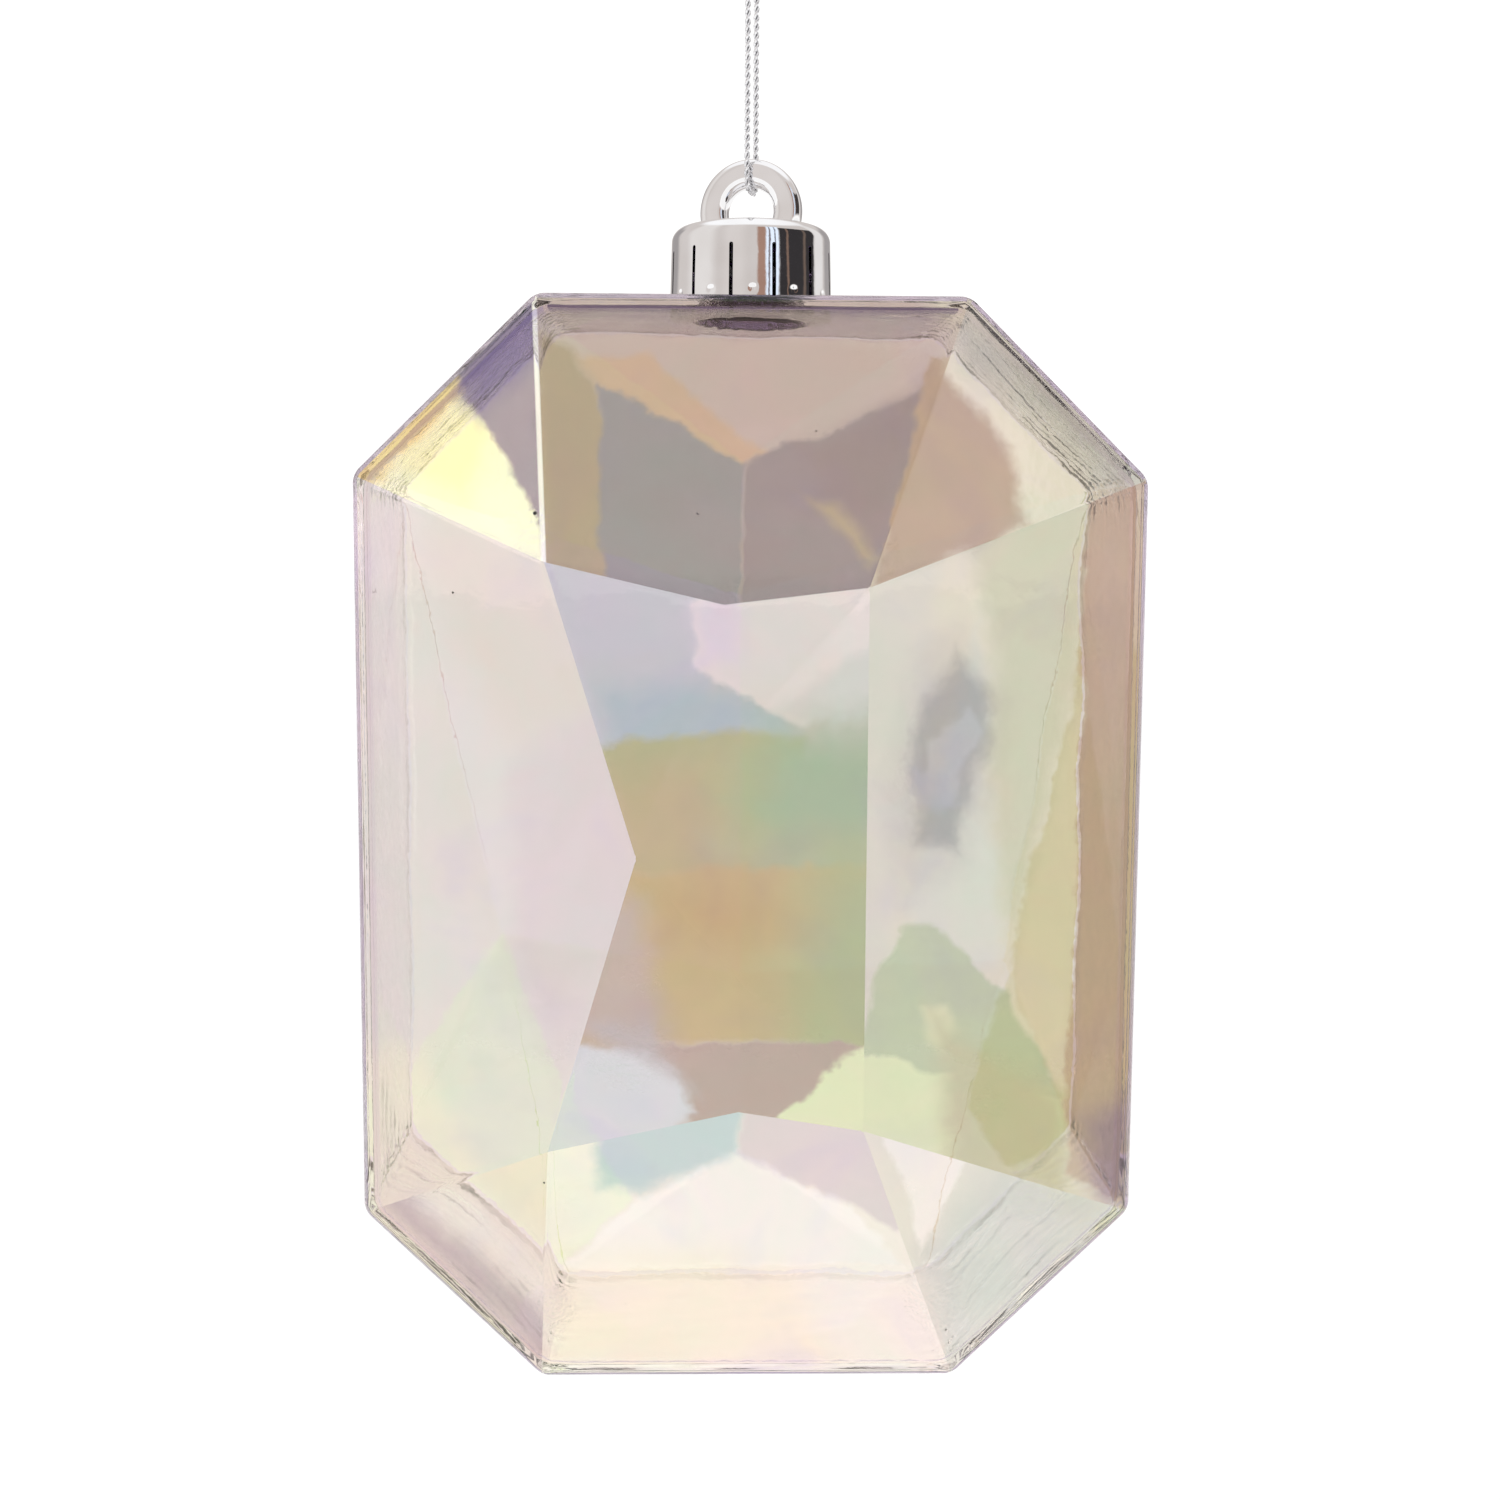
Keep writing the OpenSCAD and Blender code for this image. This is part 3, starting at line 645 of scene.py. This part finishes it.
P1, P1R = (-IN_X, IN_Z, IN_R), (RIGHT_X, RIGHT_Z, top_rise(RIGHT_Z))
P5, P5R = (-IN_X, -IN_Z, IN_R), (RIGHT_X, -RIGHT_Z, top_rise(RIGHT_Z))
KT, KB, KL = (*TOP_K, top_rise(TOP_K[1])), (*BOT_K, top_rise(-BOT_K[1])), (-SIDE_X, SIDE_Z, side_rise(SIDE_X))
TXH, RZH = HALF_W - CW, HALF_H - CH
RIM = dict(T1=(-TXH, HALF_H, 0), T2=(TXH, HALF_H, 0), R1=(HALF_W, RZH, 0), R2=(HALF_W, -RZH, 0),
           B2=(TXH, -HALF_H, 0), B1=(-TXH, -HALF_H, 0), L2=(-HALF_W, -RZH, 0), L1=(-HALF_W, RZH, 0))
FRONT_PLANES = {
    "front_top": [lambda x, z: top_rise(z)],
    "front_bottom": [lambda x, z: top_rise(-z)],
    "front_left": [lambda x, z: side_rise(-x)],
    "front_right": [lambda x, z: P1R[2] * (HALF_W - x) / (HALF_W - RIGHT_X)],
    "front_top_left": [plane_rise(RIM["T1"], RIM["L1"], P1)],
    "front_top_right": [plane_rise(RIM["T2"], RIM["R1"], P1R)],
    "front_bottom_left": [plane_rise(RIM["B1"], RIM["L2"], P5)],
    "front_bottom_right": [plane_rise(RIM["B2"], RIM["R2"], P5R)],
    "front_table": [plane_rise(P1, KT, KL), plane_rise(KT, P1R, KL), plane_rise(KL, P1R, RIDGE), plane_rise(RIDGE, P1R, P5R),
                    plane_rise(KL, RIDGE, P5R), plane_rise(KL, P5R, KB), plane_rise(KL, KB, P5)],
}
BT, BB, BL, BR, CT, CB = BACK
BACK_PLANES = {
    "back_top": [plane_rise(RIM["T2"], RIM["T1"], BT)],
    "back_bottom": [plane_rise(RIM["B1"], RIM["B2"], BB)],
    "back_left": [plane_rise(RIM["L1"], RIM["L2"], BL)],
    "back_right": [plane_rise(RIM["R1"], RIM["R2"], BR)],
    "back_bottom_left": [plane_rise(RIM["L2"], RIM["B1"], BL)],
    "back_bottom_right": [plane_rise(RIM["B2"], RIM["R2"], BR)],
    "back_top_left": [plane_rise(RIM["L1"], RIM["T1"], CT), plane_rise(RIM["T1"], BT, CT)],
    "back_top_right": [plane_rise(RIM["R1"], RIM["T2"], CT), plane_rise(RIM["T2"], BT, CT)],
    "back_mid_left": [plane_rise(RIM["L1"], BL, CT), plane_rise(CB, CT, BL)],
    "back_mid_right": [plane_rise(RIM["R1"], CT, BR), plane_rise(CB, BR, CT)],
    "back_low_left": [plane_rise(RIM["B1"], BB, BL), plane_rise(BB, CB, BL)],
    "back_low_right": [plane_rise(RIM["B2"], BR, BB), plane_rise(BB, BR, CB)],
}
CN = math.hypot(CW, CH)
BAND_SIDES = {
    "band_top": lambda x, z: HALF_H - z,
    "band_bottom": lambda x, z: HALF_H + z,
    "band_right": lambda x, z: HALF_W - x,
    "band_left": lambda x, z: HALF_W + x,
    "band_top_right": lambda x, z: (CH * (HALF_W - x) + CW * (RZH - z)) / CN,
    "band_top_left": lambda x, z: (CH * (HALF_W + x) + CW * (RZH - z)) / CN,
    "band_bottom_right": lambda x, z: (CH * (HALF_W - x) + CW * (RZH + z)) / CN,
    "band_bottom_left": lambda x, z: (CH * (HALF_W + x) + CW * (RZH + z)) / CN,
}


def facets_of(p):
    """The name of the facet that each point, in mm about the gem's middle, lies on or nearest under."""
    x, y, z = p[:, 0], p[:, 1], p[:, 2]
    names, rows = [], []
    for group, sign in ((FRONT_PLANES, -1), (BACK_PLANES, 1)):
        low = np.min([g(x, z) for fs in group.values() for g in fs], axis=0)
        for name, fs in group.items():
            mine = np.min([g(x, z) for g in fs], axis=0)
            names.append(name)
            rows.append((BAND + low - sign * y) * 0.96 + (mine - low))
    for name, f in BAND_SIDES.items():
        names.append(name)
        rows.append(f(x, z))
    rows = np.array(rows)
    out = np.array(names, dtype=object)[np.argmin(rows, axis=0)]
    crown = len(FRONT_PLANES) + len(BACK_PLANES)
    at_rim = np.abs(rows[:crown].min(axis=0) - rows[crown:].min(axis=0)) < 0.38
    out[at_rim & (y < 0)] = "rim"
    out[at_rim & (y >= 0)] = "rim_back"
    out[(z > HALF_H + 0.02) & (np.hypot(x, y) < 9.5) | (z > 65.8) & (np.hypot(x, y) < 7.7)] = "neck"
    inside = (rows.min(axis=0) > 0.75) & (out != "neck") | (out == "neck") & (np.hypot(x, y) < 7.3)
    return out, inside


def dress(o, mats):
    """Stores each facet's tint on the gem's mesh and gives its faces their materials."""
    me = o.data
    centres = np.empty(len(me.polygons) * 3, np.float32)
    me.polygons.foreach_get("center", centres)
    names, inside = facets_of(centres.reshape(-1, 3).astype(float) * 1000 - np.array([0, 0, MID_Z]))
    layer = me.color_attributes.get("facet") or me.color_attributes.new("facet", "FLOAT_COLOR", "CORNER")
    per_face = np.array([(*FACETS[k], facet_number(k)) for k in names], np.float32)
    per_face[inside & (names != "neck"), :3] = 1.0
    totals = np.empty(len(me.polygons), np.int32)
    me.polygons.foreach_get("loop_total", totals)
    layer.data.foreach_set("color", np.repeat(per_face, totals, axis=0).ravel())
    me.materials.clear()
    for m in mats:
        me.materials.append(m)
    index = [3 if i else 0 if n.startswith("front") else 1 if n.startswith("back") else 2 for n, i in zip(names, inside)]
    me.polygons.foreach_set("material_index", index)
    me.update()


def waves(p, seed, lengths, amplitude):
    """A smooth field: sines of the given wavelengths in mm, in seeded directions."""
    r = np.random.default_rng(seed)
    total = np.zeros(len(p))
    for wavelength in lengths:
        d = r.normal(size=3)
        d /= np.linalg.norm(d)
        total += np.sin(2 * math.pi * (p @ d) / wavelength + r.uniform(0, 2 * math.pi))
    return amplitude * total / math.sqrt(len(lengths))


def cut_to_grid(bm):
    """Cuts every face along even planes, so that the wall is fine enough to carry its waves and ripples."""
    for axis, places in ((0, np.arange(-46.5, 47, 1.5)), (2, np.arange(-65.5, 66, 1.5)), (1, np.arange(-16.4, 16.6, 0.7))):
        no = Vector((axis == 0, axis == 1, axis == 2))
        for c in places:
            bmesh.ops.bisect_plane(bm, geom=bm.verts[:] + bm.edges[:] + bm.faces[:], dist=4e-5, plane_co=Vector((0, 0, MID_Z * MM)) + no * float(c) * MM, plane_no=no)
    bmesh.ops.triangulate(bm, faces=[f for f in bm.faces if len(f.verts) > 3])


NECK_OUT = [(0, -0.8), (8.3, -0.8), (8.3, 2.6), (8.55, 2.8), (8.85, 3.15), (8.93, 3.4), (8.93, 4.2), (8.85, 4.5), (8.55, 4.85),
            (8.3, 5.05), (8.3, 8.3), (8.22, 8.55), (8.0, 8.75), (7.8, 8.8), (0, 8.8)]


def build_gem():
    outer = cut_gem("gem_outer", 0.0, 1.3, 1.0, 0.28, 0.28, 4)
    inner = cut_gem("gem_inner", WALL, 1.1, 1.2, 0.7, 0.7, 3)
    bore = link("bore", lathe("bore", [(0, -4), (7.6, -4), (7.6, -1.9), (6.9, -1.2), (6.35, -0.6), (6.2, 0.2), (6.2, 9.6), (0, 9.6)], 96, TOP_Z))
    # the bore opens into the cavity with a soft mouth; its lower end stays inside the cavity
    boolean(inner, bore, "UNION")
    bm = bmesh.new()
    bm.from_mesh(inner.data)
    cut_to_grid(bm)
    bm.to_mesh(inner.data)
    bm.free()
    n = len(inner.data.vertices)
    co, no = np.empty(n * 3, np.float32), np.empty(n * 3, np.float32)
    inner.data.vertices.foreach_get("co", co)
    inner.data.vertex_normals.foreach_get("vector", no)
    co, no = co.reshape(-1, 3).astype(float), no.reshape(-1, 3).astype(float)
    p = co * 1000 - np.array([0, 0, MID_Z])
    flat = smoothstep(np.minimum.reduce([HALF_W - np.abs(p[:, 0]), HALF_H - np.abs(p[:, 2]), BAND_SIDES["band_top_right"](np.abs(p[:, 0]), np.abs(p[:, 2]))]), 1.6, 6)
    move = (waves(p, 5, [46, 38, 31, 27, 23], 0.09) + waves(p, 8, [13, 11, 9.5, 8], 0.03)) * (0.3 + 0.7 * flat) + waves(p, 21, [5.2, 4.4, 3.7], 0.008)
    # ripples left where the melt cooled in the corners of the band
    corner = BAND_SIDES["band_top_right"](np.abs(p[:, 0]), np.abs(p[:, 2]))
    along = (np.abs(p[:, 0]) - (HALF_W - CW / 2)) - (np.abs(p[:, 2]) - (HALF_H - CH / 2))
    on_wall = 1 - smoothstep(corner, 2.4, 4.4)
    in_band = 1 - smoothstep(np.abs(p[:, 1]), 15.0, 17.5)
    ripple = np.sin(2 * math.pi * (p[:, 1] + 0.012 * along**2 + waves(p, 3, [24, 17, 9], 0.9)) / 3.6)
    move += on_wall * in_band * ripple * (0.045 + waves(p, 9, [21, 16, 12], 0.02))
    calm = 1 - smoothstep(np.hypot(p[:, 0], p[:, 1]), 10, 14)
    calm = np.where(p[:, 2] > HALF_H - 6, calm, 0)
    move *= 1 - calm
    co += no * (np.clip(move, -0.32, 0.32) * MM)[:, None]
    inner.data.vertices.foreach_set("co", co.astype(np.float32).ravel())
    inner.data.update()
    neck = link("neck", lathe("neck", NECK_OUT, 96, TOP_Z))
    boolean(outer, neck, "UNION")
    boolean(outer, inner, "DIFFERENCE")
    outer.name = "gem_shell"
    smooth_by_area(outer, 50)
    return outer


gem_mats = gem_materials()
chrome = chrome_material()
cord_mat, core_mat = cord_materials()

gem = build_gem()
dress(gem, gem_mats)
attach(gem, "gem")
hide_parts("gem_body")

# ---------------------------------------------------------------- cap
CAP_TOP = 10.5


def build_cap():
    r, rr = 10.5, 1.8
    outside = [(10.3, 0.1), (10.42, 0.14), (10.5, 0.24), (10.46, 2.5), (10.3, CAP_TOP - rr)]
    outside += [(10.3 - rr + rr * math.cos(a), CAP_TOP - rr + rr * math.sin(a)) for a in np.radians(np.arange(9, 90, 9))]
    outside += [(10.3 - rr, CAP_TOP), (0, CAP_TOP)]
    inside = [(0, 9.0), (8.4, 9.0), (8.8, 8.85), (9.0, 8.5), (9.0, 0.2), (9.1, 0.1)]
    # rows are added down the skirt so that the dimples have something to push on
    dense = []
    for a, b in zip(outside, outside[1:]):
        steps = max(1, int(math.dist(a, b) / 0.22)) if a[1] < 4 and b[0] > 10 else max(1, int(math.dist(a, b) / 0.8))
        dense += [tuple(np.array(a) + (np.array(b) - np.array(a)) * i / steps) for i in range(steps)]
    dense.append(outside[-1])
    inner_rows = []
    for a, b in zip(inside, inside[1:]):
        steps = max(1, int(math.dist(a, b) / 0.3)) if b[1] < 4 and a[0] > 8.5 else 1
        inner_rows += [tuple(np.array(a) + (np.array(b) - np.array(a)) * i / steps) for i in range(steps)]
    inner_rows.append(inside[-1])
    profile = dense + inner_rows
    cap = link("cap_shell", cap_lathe(profile, 240))
    me = cap.data
    for v in me.vertices:
        x, y, z = v.co.x * 1000, v.co.y * 1000, v.co.z * 1000 - TOP_Z
        rad = math.hypot(x, y)
        if rad < 8.9 or z > 4:
            continue
        a = math.degrees(math.atan2(x, y)) % 30
        a = min(a, 30 - a)
        d = math.hypot(math.radians(a) * rad, z - 1.6)
        if d < 0.7:
            push = (0.14 if rad > 9.6 else 0.42) * (math.cos(math.pi * d / 0.7) + 1) / 2
            v.co.x -= x / rad * push * MM
            v.co.y -= y / rad * push * MM
    me.update()
    for i in range(12):
        a = math.radians(15 + 30 * i)
        h, w = 7.3, 0.25
        ring = [(-w, -1), (w, -1), (w, h - w)] + [(w * math.cos(t), h - w + w * math.sin(t)) for t in np.radians([30, 60, 90, 120, 150])] + [(-w, h - w)]
        verts, m = [], len(ring)
        for depth in (8.2, 11.2):
            for s, z in ring:
                verts.append(((math.sin(a) * depth + math.cos(a) * s) * MM, (math.cos(a) * depth - math.sin(a) * s) * MM, (z + TOP_Z) * MM))
        faces = [tuple(range(m)), tuple(range(2 * m - 1, m - 1, -1))] + [(k, k + m, (k + 1) % m + m, (k + 1) % m) for k in range(m)]
        sm = mesh_from("slit", verts, faces)
        bm = bmesh.new()
        bm.from_mesh(sm)
        bmesh.ops.recalc_face_normals(bm, faces=bm.faces)
        bm.to_mesh(sm)
        bm.free()
        if i == 0:
            tool = link("slits", sm)
        else:
            bm = bmesh.new()
            bm.from_mesh(tool.data)
            bm.from_mesh(sm)
            bm.to_mesh(tool.data)
            bm.free()
    boolean(cap, tool, "DIFFERENCE")
    # eye ring
    big, small, t, f = 6.7, 3.1, 1.5, 1.15
    corners = []
    for cx, cy, a0 in ((big - f, t - f, 0), (small + f, t - f, 90), (small + f, -t + f, 180), (big - f, -t + f, 270)):
        corners += [(cx + f * math.cos(math.radians(a0 + a)), cy + f * math.sin(math.radians(a0 + a))) for a in (0, 15, 30, 45, 60, 75, 90)]
    ring = link("eye_ring", lathe("eye_ring", corners, 160))
    ring.data.transform(Matrix.Translation((0, 0, (TOP_Z + CAP_TOP + 2.2) * MM)) @ Matrix.Rotation(-EYE_TURN, 4, "Z") @ Matrix.Rotation(math.radians(90), 4, "X"))
    block = link("block", mesh_from("block", [(x * 0.012, y * 0.012, z) for x in (-1, 1) for y in (-1, 1) for z in ((TOP_Z + 9.4) * MM, (TOP_Z + 30) * MM)],
                 [(0, 1, 3, 2), (4, 6, 7, 5), (0, 4, 5, 1), (2, 3, 7, 6), (0, 2, 6, 4), (1, 5, 7, 3)]))
    boolean(ring, block, "INTERSECT")
    boolean(cap, ring, "UNION")
    cap.name = "plated_cap"
    return smooth_by_area(cap, 38)


def cap_lathe(profile, n):
    """The cap's cross-section turned about Z; the first and last points join up at the skirt's lower edge."""
    verts, faces, rings = [], [], []
    for r, z in profile:
        if r < 1e-6:
            rings.append([len(verts)])
            verts.append((0, 0, (z + TOP_Z) * MM))
        else:
            rings.append(list(range(len(verts), len(verts) + n)))
            verts += [(r * math.cos(2 * math.pi * i / n) * MM, r * math.sin(2 * math.pi * i / n) * MM, (z + TOP_Z) * MM) for i in range(n)]
    for a, b in list(zip(rings, rings[1:])) + [(rings[-1], rings[0])]:
        for i in range(n):
            j = (i + 1) % n
            if len(a) == 1 and len(b) == 1:
                break
            if len(a) == 1:
                faces.append((a[0], b[j], b[i]))
            elif len(b) == 1:
                faces.append((a[i], a[j], b[0]))
            else:
                faces.append((a[i], a[j], b[j], b[i]))
    me = mesh_from("cap", verts, faces)
    bm = bmesh.new()
    bm.from_mesh(me)
    bmesh.ops.recalc_face_normals(bm, faces=bm.faces)
    bm.to_mesh(me)
    bm.free()
    return me


cap = build_cap()
cap.data.materials.clear()
cap.data.materials.append(chrome)
for p in cap.data.polygons:
    p.material_index = 0
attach(cap, "cap")
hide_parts("hanger_cap")

# ---------------------------------------------------------------- cord and knot
line = spline([in_row(s, z) for s, z in WAY], 0.22 * MM)
cord = plied("metallic_cord", line, 2, 0.2 * MM, 0.2 * MM, 2.2 * MM, 0.14 * MM, 12, (cord_mat, core_mat))
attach(cord, "cord")
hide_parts("hanging_cord")


def build_knot():
    """Both ends of the cord, laid side by side, go up through one tight wrap of themselves and end in two cut tails."""
    parts = []
    for k in (-1, 1):
        up_path = [in_row(0.45 * k, 2.1), in_row(0.42 * k, 2.8), in_row(0.4 * k, 4.6), in_row(0.45 * k, 5.6), in_row(0.8 * k, 7.2), in_row(1.35 * k, 9.2, 0.25 * k), in_row(1.7 * k, 11.3, 0.1 * k)]
        parts.append(plied(f"knot_tail_{k}", spline(up_path, 0.2 * MM), 2, 0.2 * MM, 0.19 * MM, 2.2 * MM, 0.14 * MM, 10, (cord_mat, core_mat)))
        turn = []
        for i in range(40):
            u = i / 39
            a = -0.4 + u * (2 * math.pi * 1.35)
            r = 1.28 * min(1, 0.35 + 4 * u, 0.35 + 4 * (1 - u))
            turn.append(in_row(r * math.cos(a), 2.75 + 1.05 * u + (0.78 if k > 0 else 0), r * math.sin(a)))
        parts.append(plied(f"knot_wrap_{k}", spline(turn, 0.2 * MM), 2, 0.2 * MM, 0.19 * MM, 2.2 * MM, 0.14 * MM, 10, (cord_mat, core_mat), 0.7))
    bpy.ops.object.select_all(action="DESELECT")
    for o in parts:
        o.select_set(True)
    bpy.context.view_layer.objects.active = parts[0]
    bpy.ops.object.join()
    parts[0].name = "tied_knot"
    return parts[0]


knot = build_knot()
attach(knot, "cord")
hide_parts("cord_knot")

# ---------------------------------------------------------------- stage and light
def stage_plane(name, centre, size, normal, mat):
    w, h = size
    me = mesh_from(name, [(-w / 2, -h / 2, 0), (w / 2, -h / 2, 0), (w / 2, h / 2, 0), (-w / 2, h / 2, 0)], [(0, 1, 2, 3)])
    o = link(name, me, mat)
    o.matrix_world = Matrix.Translation(centre) @ Vector(normal).to_track_quat("Z", "Y").to_matrix().to_4x4()
    return o


fm = bpy.data.materials.new("pale_floor")
fm.use_nodes = True
fnt = fm.node_tree
fnt.nodes.clear()
fout = fnt.nodes.new("ShaderNodeOutputMaterial")
fpos = node(fnt, "ShaderNodeTexCoord")
fr = node(fnt, "ShaderNodeVectorMath", {0: fpos.outputs["Object"]}, operation="LENGTH").outputs["Value"]
# the sweep runs out to plain white
glow = node(fnt, "ShaderNodeEmission", {0: (1, 1, 1, 1), 1: 1.04})
matt = node(fnt, "ShaderNodeBsdfDiffuse", {0: (0.93, 0.93, 0.93, 1)})
fade = node(fnt, "ShaderNodeMapRange", {0: fr, 1: 0.25, 2: 0.9, 3: 0.35, 4: 1.0}, interpolation_type="SMOOTHSTEP").outputs[0]
fnt.links.new(node(fnt, "ShaderNodeMixShader", {0: fade, 1: matt.outputs[0], 2: glow.outputs[0]}).outputs[0], fout.inputs[0])
floor = stage_plane("floor", (0, 0, -0.42), (40, 40), (0, 0, 1), fm)

world = bpy.data.worlds.new("studio")
scene.world = world
world.use_nodes = True
wt = world.node_tree
wt.nodes.clear()
wo = wt.nodes.new("ShaderNodeOutputWorld")
tc = wt.nodes.new("ShaderNodeTexCoord")
wd = node(wt, "ShaderNodeSeparateXYZ", {0: tc.outputs["Generated"]})
wx, wy, wz = wd.outputs


def world_card(az, el, w, h, soft):
    """How much a soft-edged card round a direction covers the sky. Azimuth 0 is behind the camera, 90 to the right."""
    a = math_node(wt, "ARCTAN2", wx, math_node(wt, "MULTIPLY", wy, -1.0))
    e = math_node(wt, "ARCSINE", wz)
    da = math_node(wt, "ABSOLUTE", math_node(wt, "SUBTRACT", a, math.radians(az)))
    de = math_node(wt, "ABSOLUTE", math_node(wt, "SUBTRACT", e, math.radians(el)))
    s = math.radians(soft)
    ma = node(wt, "ShaderNodeMapRange", {0: da, 1: math.radians(w) + s, 2: math.radians(w) - s, 3: 0.0, 4: 1.0}, interpolation_type="SMOOTHSTEP").outputs[0]
    me = node(wt, "ShaderNodeMapRange", {0: de, 1: math.radians(h) + s, 2: math.radians(h) - s, 3: 0.0, 4: 1.0}, interpolation_type="SMOOTHSTEP").outputs[0]
    return math_node(wt, "MULTIPLY", ma, me)


def painted_sky(base, cards):
    sky = node(wt, "ShaderNodeRGB").outputs[0]
    sky.default_value = (*base, 1)
    for az, el, w, h, soft, tint in cards:
        sky = node(wt, "ShaderNodeMix", {0: world_card(az, el, w, h, soft), 6: sky, 7: (*tint, 1)}, data_type="RGBA").outputs[2]
    return sky


# what lights the room, and shows through the clear gem
room = painted_sky((1.0, 0.995, 0.99), [
    (0, 0, 50, 60, 16, (0.70, 0.68, 0.68)),
    (4, 4, 6, 30, 3, (0.16, 0.13, 0.12)),
    (24, 8, 5, 50, 3, (0.06, 0.06, 0.065)),
    (-75, 10, 25, 40, 10, (0.88, 0.85, 0.83)),
    (62, 10, 4, 50, 3, (0.3, 0.26, 0.24)),
])
# what the plated cap and the cord mirror: a warm grey room with a window and a dark corner to the right
mirrored = painted_sky((0.60, 0.56, 0.54), [
    (-25, 22, 14, 40, 8, (0.66, 0.62, 0.60)),
    (-78, 22, 22, 40, 9, (0.72, 0.69, 0.67)),
    (14, 20, 6, 16, 2, (0.36, 0.22, 0.17)),
    (30, 20, 9.5, 16, 2, (0.80, 0.90, 1.05)),
    (25, 20, 1.2, 16, 1, (0.16, 0.13, 0.13)),
    (33.5, 20, 1.0, 16, 1, (0.12, 0.11, 0.12)),
    (71, 18, 31, 13, 2, (0.035, 0.032, 0.034)),
    (53, 18, 1.6, 11, 1, (0.20, 0.13, 0.10)),
    (82, 18, 2.2, 11, 2, (0.15, 0.11, 0.09)),
    (114, 20, 11, 40, 4, (0.74, 0.72, 0.71)),
    (-147, 18, 17, 13, 6, (0.34, 0.32, 0.32)),
    (147, 18, 17, 13, 6, (0.34, 0.32, 0.32)),
    (0, 78, 181, 26, 6, (0.93, 0.93, 0.94)),
    (0, -44, 181, 47, 2, (1.0, 0.995, 0.99)),
])
lp = node(wt, "ShaderNodeLightPath")
mirror_ray = math_node(wt, "MULTIPLY", lp.outputs["Is Glossy Ray"], lp.outputs["Is Reflection Ray"])
seen = node(wt, "ShaderNodeMix", {0: mirror_ray, 6: room, 7: mirrored}, data_type="RGBA").outputs[2]
seen = node(wt, "ShaderNodeMix", {0: lp.outputs["Is Camera Ray"], 6: seen, 7: (1, 1, 1, 1)}, data_type="RGBA").outputs[2]
bg = node(wt, "ShaderNodeBackground", {0: seen, 1: 1.12})
wt.links.new(bg.outputs[0], wo.inputs[0])


def area(name, place, target, size, power, colour=(1, 1, 1), spread=180.0):
    d = bpy.data.lights.new(name, "AREA")
    d.shape, d.size, d.size_y, d.energy, d.color = "RECTANGLE", size[0], size[1], power, colour
    d.spread = math.radians(spread)
    o = bpy.data.objects.new(name, d)
    scene.collection.objects.link(o)
    o.location = place
    o.rotation_euler = (Vector(target) - Vector(place)).to_track_quat("-Z", "Y").to_euler()
    o.visible_glossy = False
    return o


area("key_softbox", (-0.9, -0.9, 0.55), (0, 0, -0.14), (0.7, 0.7), 9, (1, 0.98, 0.96))
area("fill_softbox", (1.1, -0.5, 0.1), (0, 0, -0.14), (0.5, 0.9), 4, (0.96, 0.98, 1))

scene.view_settings.view_transform = "Standard"
scene.view_settings.look = "None"
scene.cycles.max_bounces = 40
scene.cycles.transmission_bounces = 36
scene.cycles.glossy_bounces = 36
scene.cycles.transparent_max_bounces = 16
scene.cycles.caustics_reflective = True
scene.cycles.caustics_refractive = True
scene.cycles.sample_clamp_indirect = 6.0
scene.cycles.use_denoising = True
